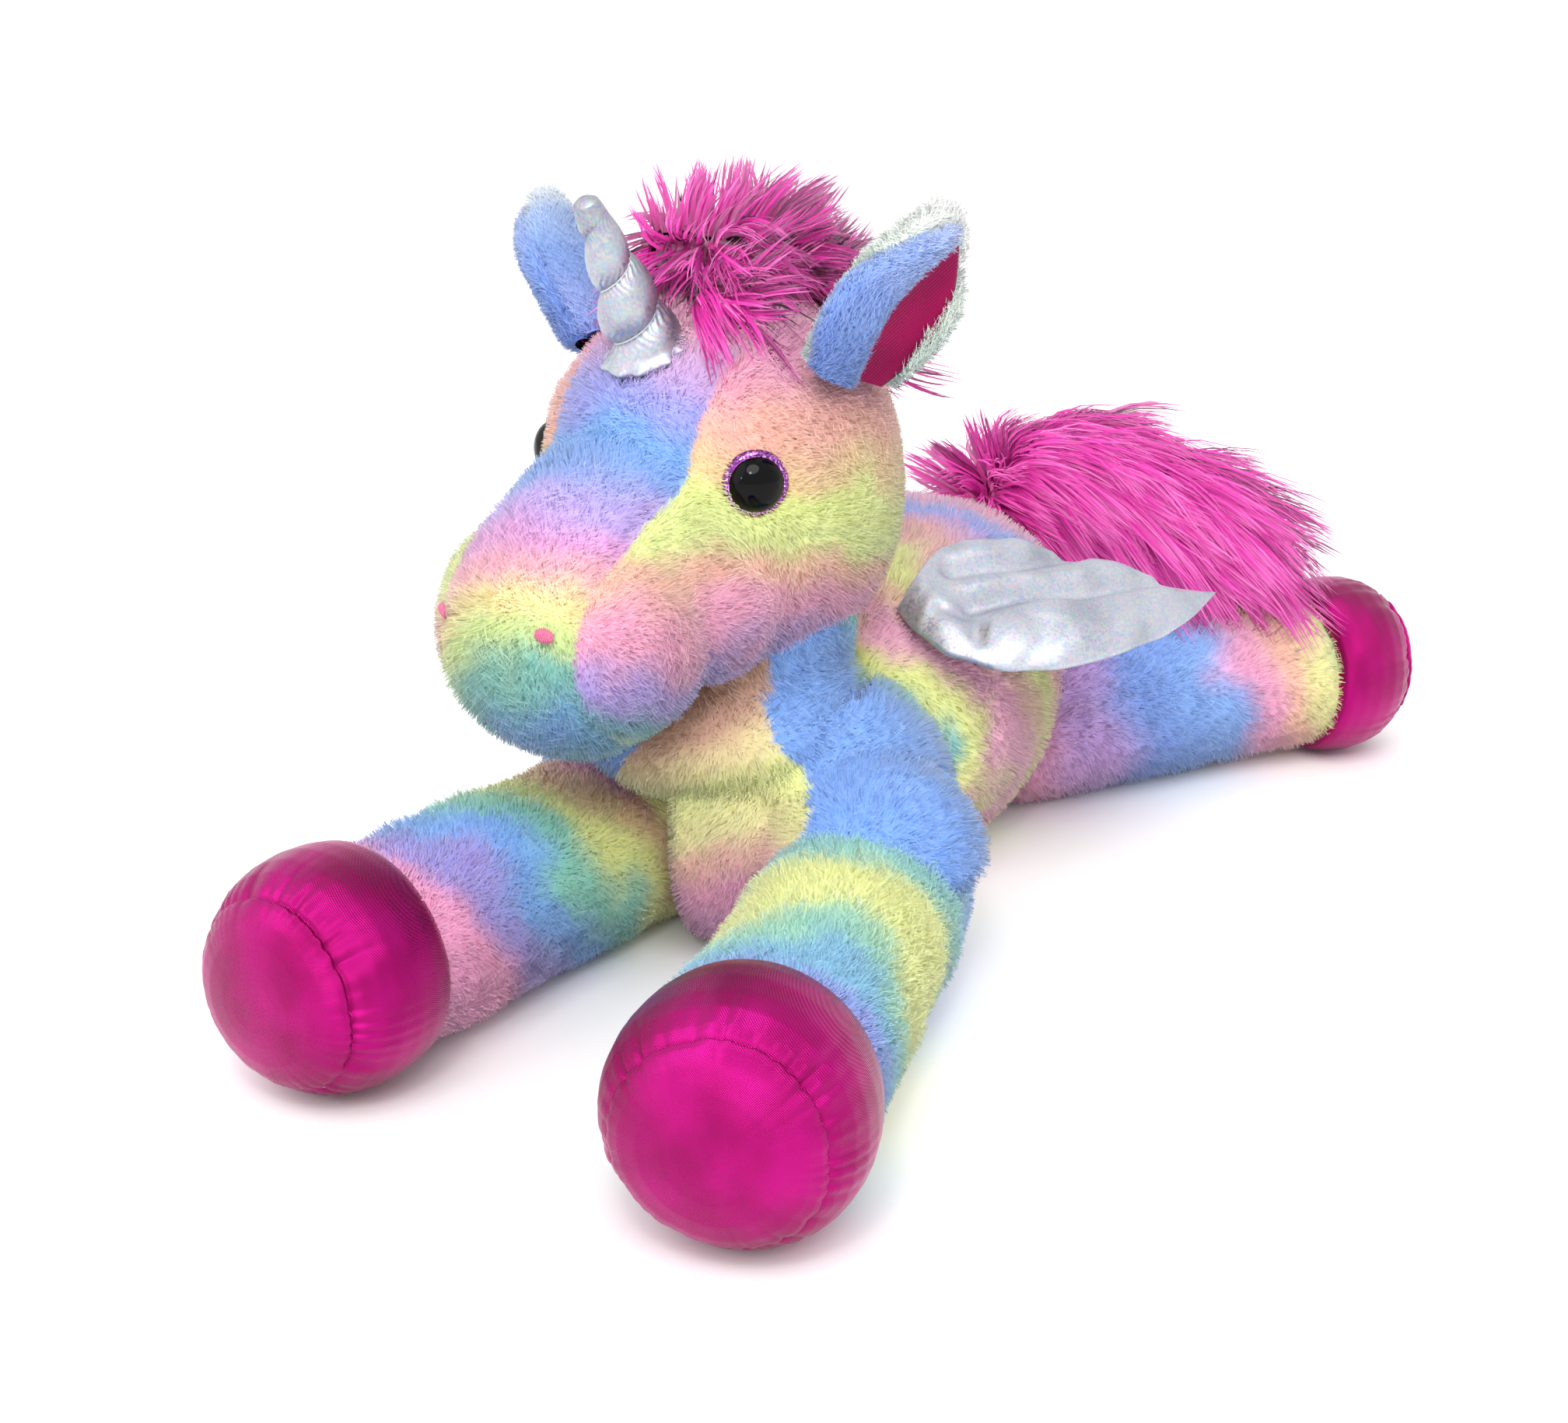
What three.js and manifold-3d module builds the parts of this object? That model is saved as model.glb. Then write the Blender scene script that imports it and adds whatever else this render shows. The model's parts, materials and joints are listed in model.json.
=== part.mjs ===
// Plush winged unicorn lying on its belly. Millimetres, +Z up, head towards -Y, the animal's left towards +X.
// The origin is the middle of the flat patch of belly that it rests on.
// Every cover is a cut panel of cloth over its own wad of filling, and every limb turns at the seam that holds it.
import * as THREE from "three";
import { mergeVertices } from "three/addons/utils/BufferGeometryUtils.js";
import Module from "manifold-3d";

const wasm = await Module();
wasm.setup();

// Driving dimensions
const seamGap = 0.35; // between two pieces that are sewn edge to edge
const fillGap = 0.5; // between a cover and its filling
const runGap = 0.8; // round a part that turns
const pile = 7; // plush cloth with its pile
const satin = 2; // hoof cloth
const foil = 1.5; // silver cloth of the horn and wings

const barrel = { width: 172, height: 176, length: 262, rear: 192, sunk: 8 };
const chest = { width: 180, depth: 140, height: 148, middleY: -96, middleZ: 66 };
const belly = { halfWidth: 34, top: 13 };
const bib = { halfWidth: 46, back: chest.middleY - 4 };
const neck = { x: -17, y: -98, base: 104, radius: 61, straight: 18, ball: 56, ballZ: 158 };
const head = {
  turn: -15, // degrees, to the animal's right at rest
  cranium: { size: [156, 168, 176], forward: 8, sunk: 28 },
  bridge: { size: [112, 150, 112], at: [0, -66, 36] },
  muzzle: { size: [122, 100, 104], at: [0, -108, 14] },
  jowls: { size: [128, 128, 92], at: [0, -54, 24] },
  blaze: 37, // half width of the middle panel over the forehead
  nose: 31, // and along the nose
  chinTop: -14,
  throat: -88, // the head is open below, behind this
};
head.cranium.at = [0, -head.cranium.forward, head.cranium.size[2] / 2 - head.cranium.sunk];
const eye = { dome: 12, rim: 14, ring: 1.6, stem: 2.6, stemLength: 19, washer: 9, washerThick: 2 };
eye.side = 53; // degrees from straight ahead
eye.height = 76;
const nostril = { radius: 5.5, thick: 3, side: 27, height: 26 };
const mane = { tall: 42, halfWidth: 33, front: -46, back: 88, foot: 96 };
const ear = { length: 80, width: 50, plush: 11, out: 51, back: 3, lean: 27, flop: 17, turn: 60, lining: 8 };
const horn = { length: 74, base: 17, tip: 6, seat: 38, sunk: 6, lean: 26 };
const wing = { length: 150, chord: 110, pad: 17, seam: 4, root: 56, rootY: -6, up: 57 };
wing.angles = { toeIn: 0, sweep: 40, droop: 15, roll: 12 };
const tail = { root: 24, thick: 43, tip: 31, core: 11, x: 4, inset: 4, z: 142 };
const frontLeg = { x: 66, y: -108, lead: 17, radius: 44, reach: 234, heading: 9, swingIn: 8, swingOut: 50 };
const hindLeg = { x: 54, y: 122, lead: 0, radius: 43, reach: 218, heading: 139, swingIn: 25, swingOut: 40 };
const hoof = { length: 62, radius: 51, cuff: 12 };
const legSides = 14;

const rad = THREE.MathUtils.degToRad;

// Solids: a geometry becomes a manifold for joining and cutting, and comes back as a geometry.
function solidOf(geometry) {
  const bare = geometry.clone();
  for (const name of Object.keys(bare.attributes)) if (name !== "position") bare.deleteAttribute(name);
  const merged = mergeVertices(bare, 1e-3);
  return new wasm.Manifold(
    new wasm.Mesh({
      numProp: 3,
      vertProperties: merged.attributes.position.array,
      triVerts: new Uint32Array(merged.index.array),
    }),
  );
}

function geometryOf(solid) {
  const mesh = solid.getMesh();
  const count = mesh.numVert;
  const places = new Float32Array(count * 3);
  for (let i = 0; i < count; i++) {
    places.set(mesh.vertProperties.subarray(i * mesh.numProp, i * mesh.numProp + 3), i * 3);
  }
  return new THREE.BufferGeometry()
    .setAttribute("position", new THREE.BufferAttribute(places, 3))
    .setIndex(new THREE.BufferAttribute(mesh.triVerts, 1));
}

const join = (first, ...rest) => rest.reduce((a, b) => a.add(b), first);
const cut = (first, ...rest) => rest.reduce((a, b) => a.subtract(b), first);
const keep = (first, ...rest) => rest.reduce((a, b) => a.intersect(b), first);

// An ellipsoid of full size [x, y, z] less an even margin all round.
function ellipsoid(size, at, margin = 0, around = 20, up = 12) {
  const ball = new THREE.SphereGeometry(0.5, around, up).rotateX(Math.PI / 2);
  ball.scale(size[0] - 2 * margin, size[1] - 2 * margin, size[2] - 2 * margin);
  return solidOf(ball.translate(...at));
}

// A box from its lowest to its highest corner.
function block(low, high) {
  const size = high.map((top, i) => top - low[i]);
  const middle = high.map((top, i) => (top + low[i]) / 2);
  return solidOf(new THREE.BoxGeometry(...size).translate(...middle));
}

// A solid turned from [radius, along] points, about +Y.
function turned(points, sides = legSides) {
  const profile = points.map(([r, along]) => new THREE.Vector2(r, along));
  return new THREE.LatheGeometry(profile, sides);
}

// [radius, along] points of an arc about a centre on the axis, from one angle to another, 0 being along +Y.
function arc(radius, middle, from, to, steps) {
  return Array.from({ length: steps + 1 }, (_, i) => {
    const angle = rad(from + ((to - from) * i) / steps);
    const r = Math.abs(Math.sin(angle)) < 1e-9 ? 0 : radius * Math.sin(angle);
    return [r, middle + radius * Math.cos(angle)];
  });
}

// An upright cylinder.
function post(radius, low, high, x = 0, y = 0, sides = 24) {
  const rod = new THREE.CylinderGeometry(radius, radius, high - low, sides).rotateX(Math.PI / 2);
  return solidOf(rod.translate(x, y, (high + low) / 2));
}

const toy = new THREE.Group();
const finish = {
  plush: [0xf2b8d0, 0.95, 0],
  chestPlush: [0xe6d49a, 0.95, 0],
  satin: [0xd4127e, 0.35, 0.5],
  foil: [0xd8dce4, 0.3, 0.7],
  longPile: [0xe22fa4, 0.85, 0],
  fibre: [0xf6f6f4, 1, 0],
  eye: [0x08080a, 0.08, 0],
  glitter: [0x8a2f86, 0.35, 0.6],
  washer: [0xe8e8e4, 0.5, 0],
  thread: [0xc9ccd4, 0.5, 0.3],
  stitch: [0xd8508c, 0.8, 0],
};
const paints = Object.fromEntries(
  Object.entries(finish).map(([name, [color, roughness, metalness]]) => [
    name,
    new THREE.MeshStandardMaterial({ color, roughness, metalness }),
  ]),
);

function piece(name, shape, paint, parent = toy) {
  const geometry = shape.isBufferGeometry ? shape : geometryOf(shape);
  const mesh = new THREE.Mesh(geometry, paints[paint]);
  mesh.name = name;
  parent.add(mesh);
  return mesh;
}

// Legs. Each is made along +Y from its seam and then turned to its heading. side is 1 on the left, -1 on the right.
const legs = [
  { name: "front_left", side: 1, ...frontLeg },
  { name: "front_right", side: -1, ...frontLeg },
  { name: "hind_left", side: 1, ...hindLeg },
  { name: "hind_right", side: -1, ...hindLeg },
].map((leg) => ({ ...leg, y: leg.y - leg.side * leg.lead }));

// Plan direction of a heading: 0 is straight ahead, and it opens outwards.
function planAngle(leg, more = 0) {
  return rad(leg.side * (leg.heading + more) - 90);
}

function legAxisHeight(leg) {
  return leg.radius + seamGap;
}

function addLeg(leg) {
  const group = new THREE.Group();
  const hoofCentreZ = hoof.radius + seamGap;
  const lift = Math.atan2(hoofCentreZ - legAxisHeight(leg), leg.reach);
  group.position.set(leg.side * leg.x, leg.y, legAxisHeight(leg));
  group.rotation.set(lift, 0, planAngle(leg) - Math.PI / 2, "ZYX");
  toy.add(group);

  const r = leg.radius;
  const inside = r - pile;
  const end = leg.reach - hoof.length / 2;
  const cuffEnd = end + hoof.cuff;
  const rimAt = leg.reach + hoof.length * 0.2;
  const rim = hoof.radius * 0.93;
  const toe = leg.reach + hoof.length / 2;
  const sleeve = [
    ...arc(r, 0, 180, 90, 4),
    [r, end - seamGap],
    [inside, end - seamGap],
    ...arc(inside, 0, 90, 180, 4),
  ];
  const band = [
    [r, end],
    [hoof.radius, cuffEnd],
    [hoof.radius, leg.reach],
    [rim, rimAt],
    [rim - satin, rimAt],
    [hoof.radius - satin, leg.reach],
    [hoof.radius - satin, cuffEnd],
    [r - satin, end],
    [r, end],
  ];
  const dome = (shrink) => [
    [rim - shrink * 0.4, rimAt + seamGap],
    [rim * 0.82 - shrink * 0.6, toe - 9 - shrink],
    [rim * 0.45, toe - 2 - shrink],
    [0, toe - shrink],
  ];
  const sole = [...dome(satin).reverse(), ...dome(0)];
  const filling = [
    ...arc(inside - fillGap, 0, 180, 90, 4),
    [inside - fillGap, end],
    [hoof.radius - satin - fillGap, cuffEnd + 1],
    [hoof.radius - satin - fillGap, leg.reach],
    [rim - satin - 2 * fillGap, rimAt],
    [rim * 0.74 - satin, toe - 9 - satin - 3 * fillGap],
    [0, toe - satin - 3 * fillGap],
  ];
  piece(`${leg.name}_leg_sleeve`, turned(sleeve), "plush", group);
  piece(`${leg.name}_hoof_band`, turned(band), "satin", group);
  piece(`${leg.name}_hoof_sole`, turned(sole), "satin", group);
  piece(`${leg.name}_leg_fill`, turned(filling), "fibre", group);
}

// The room that a leg needs as it swings, seen from above and stood up as a solid.
function legRoom(leg) {
  const r = leg.radius + runGap;
  const far = 400;
  const from = planAngle(leg, -leg.swingIn);
  const to = planAngle(leg, leg.swingOut);
  const [low, high] = from < to ? [from, to] : [to, from];
  const room = new THREE.Shape();
  room.moveTo(r * Math.cos(low - Math.PI / 2), r * Math.sin(low - Math.PI / 2));
  room.lineTo(
    far * Math.cos(low) + r * Math.cos(low - Math.PI / 2),
    far * Math.sin(low) + r * Math.sin(low - Math.PI / 2),
  );
  room.lineTo(1.6 * far * Math.cos((low + high) / 2), 1.6 * far * Math.sin((low + high) / 2));
  room.lineTo(
    far * Math.cos(high) + r * Math.cos(high + Math.PI / 2),
    far * Math.sin(high) + r * Math.sin(high + Math.PI / 2),
  );
  room.absarc(0, 0, r, high + Math.PI / 2, low - Math.PI / 2 + 2 * Math.PI, false);
  const rise = (hoof.radius - leg.radius) * 0.4;
  const tall = 20 + legAxisHeight(leg) + r + rise;
  const solid = new THREE.ExtrudeGeometry(room, { depth: tall, bevelEnabled: false, curveSegments: 12 });
  return solidOf(solid.translate(leg.side * leg.x, leg.y, -20));
}

const barrelZ = barrel.height / 2 - barrel.sunk;
const tailY = barrel.rear - tail.inset;

// Torso: a barrel and a chest in one skin of four panels, round one filling, with room for the legs and neck.
function torsoShape(margin) {
  const length = barrel.length - 2 * margin;
  const half = barrel.width / 2 - margin;
  const tube = new THREE.CapsuleGeometry(half, length - 2 * half, 7, 22);
  tube.scale(1, 1, (barrel.height / 2 - margin) / half);
  const body = solidOf(tube.translate(0, barrel.rear - barrel.length / 2, barrelZ));
  const breast = ellipsoid(
    [chest.width, chest.depth, chest.height],
    [0, chest.middleY, chest.middleZ],
    margin,
    22,
    14,
  );
  const floor = block([-300, -400, -60], [300, 400, margin]);
  return cut(join(body, breast), floor);
}

function addTorso() {
  const neckRoom = post(neck.radius + runGap, neck.base - runGap, 400, neck.x, neck.y);
  const rooms = [neckRoom, atTailRoot(tail.root + runGap), ...legs.map(legRoom)];
  const skin = cut(torsoShape(0), torsoShape(pile), ...rooms);
  const underside = (grow) =>
    block([-belly.halfWidth - grow, -400, -10], [belly.halfWidth + grow, 400, belly.top + grow]);
  const front = (grow) =>
    block([-bib.halfWidth - grow, -400, belly.top + seamGap - 2 * grow], [bib.halfWidth + grow, bib.back + grow, 400]);
  const grown = [underside(seamGap), front(seamGap)];
  piece("belly_panel", largest(keep(skin, underside(0))), "plush");
  piece("chest_panel", largest(keep(skin, front(0))), "chestPlush");
  const left = keep(skin, block([seamGap / 2, -400, -10], [400, 400, 400]));
  const right = keep(skin, block([-400, -400, -10], [-seamGap / 2, 400, 400]));
  piece("torso_left_panel", largest(cut(left, ...grown)), "plush");
  piece("torso_right_panel", largest(cut(right, ...grown)), "plush");
  piece("torso_fill", largest(cut(torsoShape(pile + fillGap), ...rooms)), "fibre");
}

// The largest body of a cut solid: slivers left where two cuts cross are trimmed off with the cloth.
function largest(solid) {
  const bodies = solid.decompose();
  return bodies.reduce((a, b) => (a.volume() > b.volume() ? a : b));
}

// Neck: a short sleeve of plush that turns in the torso and carries the head on its rounded end.
function neckProfile(margin) {
  const shoulder = neck.base + neck.straight;
  const waist = 0.93; // of the ball's radius, where it meets the sleeve
  const from = Math.asin(waist) * (180 / Math.PI);
  return [
    [0, neck.base + margin],
    [neck.radius - margin, neck.base + margin],
    [neck.radius - margin, shoulder],
    ...arc(neck.ball - margin, neck.ballZ, 180 - from, 0, 6),
  ];
}

function addNeck() {
  const stand = (profile) => turned(profile, 24).rotateX(Math.PI / 2).translate(neck.x, neck.y, 0);
  const whole = solidOf(stand(neckProfile(0)));
  const hollow = solidOf(stand(neckProfile(pile)));
  const mouth = post(neck.radius - pile, neck.base - 5, neck.base + pile + 1, neck.x, neck.y);
  piece("neck_sleeve", cut(whole, hollow, mouth), "plush");
  piece("neck_fill", stand(neckProfile(pile + fillGap)), "fibre");
}

// Head, in its own frame: the origin is the middle of the neck's rounded end, and -Y is straight ahead.
const headGroup = new THREE.Group();
headGroup.position.set(neck.x, neck.y, neck.ballZ);
headGroup.rotation.z = rad(head.turn);
toy.add(headGroup);

function headShape(margin) {
  const parts = [head.cranium, head.bridge, head.muzzle, head.jowls].map((part) =>
    ellipsoid(part.size, part.at, margin, 20, 12),
  );
  return join(...parts);
}

// The middle panel seen from above: narrow between the eyes and wide across the nose.
function blazeRoom(grow) {
  const [slim, wide] = [head.blaze + grow, head.nose + grow];
  const outline = new THREE.Shape();
  outline.moveTo(-slim, 120);
  outline.lineTo(-slim, -60);
  outline.lineTo(-wide, -96);
  outline.lineTo(-wide, -220);
  outline.lineTo(wide, -220);
  outline.lineTo(wide, -96);
  outline.lineTo(slim, -60);
  outline.lineTo(slim, 120);
  outline.closePath();
  const low = head.chinTop + seamGap - grow;
  const solid = new THREE.ExtrudeGeometry(outline, { depth: 300, bevelEnabled: false });
  return solidOf(solid.translate(0, 0, low));
}

// Turns a solid made along +Y so that it points out of the head at an eye.
function atEye(geometry, side) {
  const out = rad(eye.side) * side;
  const [width, depth] = head.cranium.size;
  const [, middleY, middleZ] = head.cranium.at;
  const drop = (eye.height - middleZ) / (head.cranium.size[2] / 2);
  const shrink = Math.sqrt(1 - drop * drop);
  const seat = 0.5 - (pile - 3) / depth;
  const x = width * seat * shrink * Math.sin(out);
  const y = -depth * seat * shrink * Math.cos(out) + middleY;
  return geometry.rotateZ(Math.PI + out).translate(x, y, eye.height);
}

function addEye(name, side) {
  const ring = eye.ring;
  const sides = 14;
  const dome = [
    [0, -eye.stemLength],
    [eye.stem, -eye.stemLength],
    [eye.stem, ring + seamGap],
    [eye.dome, ring + seamGap],
    [eye.dome * 0.88, eye.dome * 0.5 + ring],
    [eye.dome * 0.5, eye.dome * 0.72 + ring],
    [0, eye.dome * 0.8 + ring],
  ];
  const ringLoop = [
    [eye.stem + seamGap, 0],
    [eye.rim, 0],
    [eye.rim, ring],
    [eye.stem + seamGap, ring],
    [eye.stem + seamGap, 0],
  ];
  const back = -pile - 3;
  const washer = ringLoop.map(([r, y]) => [
    r === eye.rim ? eye.washer : r,
    back - (y === 0 ? eye.washerThick : 0),
  ]);
  piece(`${name}_eye_dome`, atEye(turned(dome, sides), side), "eye", headGroup);
  piece(`${name}_eye_glitter_ring`, atEye(turned(ringLoop, sides), side), "glitter", headGroup);
  piece(`${name}_eye_lock_washer`, atEye(turned(washer, 10), side), "washer", headGroup);
}

// The holes that an eye needs in the cloth, and the deeper one in the filling.
function eyeRoom(side, inFilling) {
  const stem = eye.stem + seamGap;
  const wide = eye.rim + seamGap;
  const seat = turned([[0, -seamGap], [wide, -seamGap], [wide, 60], [0, 60]], 14);
  const bore = turned([[0, -45], [stem, -45], [stem, 10], [0, 10]], 10);
  const deep = -eye.stemLength - 3;
  const pit = turned([[0, deep], [eye.washer + 1, deep], [eye.washer + 1, 10], [0, 10]], 10);
  return inFilling
    ? solidOf(atEye(pit, side))
    : join(solidOf(atEye(seat, side)), solidOf(atEye(bore, side)));
}

// A nostril is a small pad of satin stitch, seated in the pile on the front of the muzzle.
function nostrilAt(geometry, side) {
  const [, depth] = head.muzzle.size;
  const out = rad(nostril.side) * side;
  const [, middleY, middleZ] = head.muzzle.at;
  const reach = depth / 2 + 4;
  const x = reach * Math.sin(out) * 1.16;
  const y = middleY - reach * Math.cos(out) * 0.86;
  return geometry.rotateZ(Math.PI + out).translate(x, y, middleZ + nostril.height * 0.5);
}

function addNostril(name, side) {
  const pad = turned([[0, 0], [nostril.radius, 0], [nostril.radius * 0.8, nostril.thick], [0, nostril.thick]], 10);
  piece(`${name}_nostril_stitching`, nostrilAt(pad, side), "stitch", headGroup);
}

function nostrilRoom(side) {
  const wide = nostril.radius + seamGap;
  return solidOf(nostrilAt(turned([[0, -seamGap], [wide, -seamGap], [wide, 40], [0, 40]], 10), side));
}

function addHead() {
  const socket = solidOf(new THREE.SphereGeometry(neck.ball + runGap, 28, 20).rotateX(Math.PI / 2));
  const under = block([-200, head.throat, -200], [200, 200, head.chinTop + seamGap]);
  const rooms = [socket, under, eyeRoom(1), eyeRoom(-1), nostrilRoom(1), nostrilRoom(-1)];
  const cloth = cut(headShape(0), headShape(pile), ...rooms);
  const blaze = blazeRoom(0);
  const chin = block([-200, -300, -300], [200, 300, head.chinTop]);
  const above = [blazeRoom(seamGap), block([-200, -300, -300], [200, 300, head.chinTop + seamGap])];
  piece("head_middle_panel", largest(keep(cloth, blaze)), "plush", headGroup);
  piece("chin_panel", largest(keep(cloth, chin)), "plush", headGroup);
  const left = keep(cloth, block([0, -300, -300], [300, 300, 300]));
  const right = keep(cloth, block([-300, -300, -300], [0, 300, 300]));
  piece("left_cheek_panel", largest(cut(left, ...above)), "plush", headGroup);
  piece("right_cheek_panel", largest(cut(right, ...above)), "plush", headGroup);
  const filling = cut(headShape(pile + fillGap), socket, under, eyeRoom(1, true), eyeRoom(-1, true));
  piece("head_fill", largest(filling), "fibre", headGroup);
  for (const [name, side] of [["left", 1], ["right", -1]]) {
    addEye(name, side);
    addNostril(name, side);
  }
}

// Mane: a strip of long pile over the crown and down the back of the head.
function addMane() {
  const { size, at } = head.cranium;
  const outer = ellipsoid([size[0] + 2 * mane.tall, size[1] + 2 * mane.tall - 18, size[2] + 2 * mane.tall], at, 0, 20, 14);
  const inner = ellipsoid(size, at, -seamGap, 20, 12);
  const strip = block([-mane.halfWidth, mane.front, mane.foot], [mane.halfWidth, mane.back, 300]);
  piece("mane_long_pile", largest(cut(keep(outer, strip), inner, hornRoom())), "longPile", headGroup);
}

// Ears. Each is a leaf made standing on +Z, with its lining on the -Y face, and seated on the cranium by its round foot.
function earPlace(side) {
  const [a, b, c] = head.cranium.size.map((full) => full / 2);
  const out = rad(ear.out);
  const unit = new THREE.Vector3(side * Math.sin(out), ear.back / b, Math.cos(out)).normalize();
  const normal = new THREE.Vector3(unit.x / a, unit.y / b, unit.z / c).normalize();
  const at = new THREE.Vector3(a * unit.x, b * unit.y, c * unit.z).add(new THREE.Vector3(...head.cranium.at));
  at.addScaledVector(normal, ear.plush / 2 + seamGap / 2);
  const turn = rad(ear.turn);
  const across = new THREE.Vector3(Math.cos(turn), side * Math.sin(turn), 0);
  across.addScaledVector(normal, -across.dot(normal)).normalize();
  const lean = rad(side > 0 ? ear.lean : ear.lean + ear.flop);
  const up = new THREE.Vector3(side * Math.sin(lean), 0, Math.cos(lean));
  up.addScaledVector(across, -up.dot(across)).normalize();
  const back = new THREE.Vector3().crossVectors(up, across);
  return new THREE.Matrix4().makeBasis(across, back, up).setPosition(at);
}

function leaf(width, length) {
  const shape = new THREE.Shape();
  shape.moveTo(-width * 0.3, 0);
  shape.quadraticCurveTo(-width * 0.68, length * 0.5, 0, length);
  shape.quadraticCurveTo(width * 0.68, length * 0.5, width * 0.3, 0);
  shape.closePath();
  return shape;
}

function plate(shape, thick, curveSegments = 6) {
  return new THREE.ExtrudeGeometry(shape, { depth: thick, bevelEnabled: false, curveSegments });
}

function addEar(name, side) {
  const place = earPlace(side);
  const half = ear.plush / 2;
  const flap = solidOf(plate(leaf(ear.width, ear.length), ear.plush).rotateX(Math.PI / 2).translate(0, half, 0));
  const foot = new THREE.CylinderGeometry(half, half, ear.width * 0.6, 12).rotateZ(Math.PI / 2);
  const plush = geometryOf(join(flap, solidOf(foot)));
  const lining = plate(leaf(ear.width * 0.72, ear.length * 0.84), satin)
    .rotateX(Math.PI / 2)
    .translate(0, -half - seamGap, ear.lining);
  piece(`${name}_ear_plush`, plush.applyMatrix4(place), "plush", headGroup);
  piece(`${name}_ear_lining`, lining.applyMatrix4(place), "satin", headGroup);
}

// Horn: a stuffed cone of silver cloth, pinched into turns by a wound thread.
function hornPlace(geometry) {
  const [, depth, height] = head.cranium.size;
  const [, middleY, middleZ] = head.cranium.at;
  const seat = rad(horn.seat);
  return geometry
    .rotateX(Math.PI / 2 + rad(horn.lean))
    .translate(
      0,
      middleY - (depth / 2 - horn.sunk) * Math.sin(seat),
      middleZ + (height / 2 - horn.sunk) * Math.cos(seat),
    );
}

const hornRadius = (along) => horn.base + (horn.tip - horn.base) * (along / horn.length);

function hornRoom() {
  const wide = horn.base + 6;
  return solidOf(hornPlace(turned([[0, -4], [wide, -4], [wide - 8, horn.length + 8], [0, horn.length + 8]], 12)));
}

function addHorn() {
  const cone = (margin, from) => [
    [0, from],
    [hornRadius(0) - margin, from],
    [hornRadius(horn.length * 0.9) - margin, horn.length * 0.9],
    [hornRadius(horn.length) * 0.6 - margin * 0.6, horn.length - 1.5 - margin],
    [0, horn.length - margin],
  ];
  const crown = headShape(-seamGap);
  const whole = solidOf(hornPlace(turned(cone(0, -6), 14)));
  const hollow = solidOf(hornPlace(turned(cone(foil, -8), 14)));
  piece("horn_cover", largest(cut(whole, hollow, crown)), "foil", headGroup);
  piece("horn_fill", cut(solidOf(hornPlace(turned(cone(foil + fillGap, -5), 14))), crown), "fibre", headGroup);
  const turns = 3.2;
  const wire = 0.8;
  const helix = new THREE.CatmullRomCurve3(
    Array.from({ length: 33 }, (_, i) => {
      const along = 8 + (i / 32) * (horn.length * 0.72);
      const angle = (i / 32) * turns * 2 * Math.PI;
      const r = hornRadius(along) + wire + seamGap * 2;
      return new THREE.Vector3(r * Math.cos(angle), along, r * Math.sin(angle));
    }),
  );
  const section = new THREE.Shape();
  section.absarc(0, 0, wire, 0, 2 * Math.PI, false);
  const thread = new THREE.ExtrudeGeometry(section, { extrudePath: helix, steps: 36, curveSegments: 2, bevelEnabled: false });
  piece("horn_thread", hornPlace(thread), "thread", headGroup);
}

// Wings: two foil faces sewn round their edge over a wad of batting, in three feather lobes.
// Each is made flat, with the seam that holds it at the origin and its tip along +X.
function wingOutline() {
  const { length, chord, root } = wing;
  const sweep = rad(wing.angles.sweep);
  const at = (along, across) => [
    length * along * Math.cos(sweep) - chord * across * Math.sin(sweep),
    length * along * Math.sin(sweep) + chord * across * Math.cos(sweep),
  ];
  const outline = new THREE.Shape();
  outline.moveTo(0, -root / 2);
  outline.quadraticCurveTo(...at(0.2, -0.56), ...at(0.6, -0.45));
  outline.quadraticCurveTo(...at(0.84, -0.34), ...at(1, -0.04));
  outline.quadraticCurveTo(...at(0.86, 0.12), ...at(0.74, 0.1));
  outline.quadraticCurveTo(...at(0.68, 0.28), ...at(0.54, 0.26));
  outline.quadraticCurveTo(...at(0.44, 0.38), 0, root / 2);
  return outline;
}

// The wing's pillow less an even margin: the lobed outline, crowned in the middle and thin at the edge,
// with a round roll along the seam that holds it.
function wingPillow(margin) {
  const { length, chord, pad } = wing;
  const sweep = rad(wing.angles.sweep);
  const middle = [(length / 2) * Math.cos(sweep), (length / 2) * Math.sin(sweep), 0];
  const slab = plate(wingOutline(), pad, 3).translate(-middle[0], -middle[1], -pad / 2);
  slab.scale(1 - (2 * margin) / length, 1 - (2 * margin) / chord, 1).translate(...middle);
  const crown = new THREE.SphereGeometry(0.5, 14, 8).rotateX(Math.PI / 2);
  crown.scale(length * 1.04 - 2 * margin, chord * 1.2 - 2 * margin, pad - 2 * margin);
  crown.rotateZ(sweep).translate(...middle);
  const long = wing.root - 2 * margin;
  const roll = new THREE.CylinderGeometry(wing.seam - margin, wing.seam - margin, long, 10);
  return join(keep(solidOf(slab), solidOf(crown)), solidOf(roll));
}

// How much of the barrel's girth is left at a place along it: all of it between the two round ends.
function girth(y) {
  const end = barrel.width / 2;
  const past = Math.max(0, y - barrel.rear + end, barrel.rear - barrel.length + end - y);
  return Math.sqrt(Math.max(0, 1 - (past / end) ** 2));
}

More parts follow.
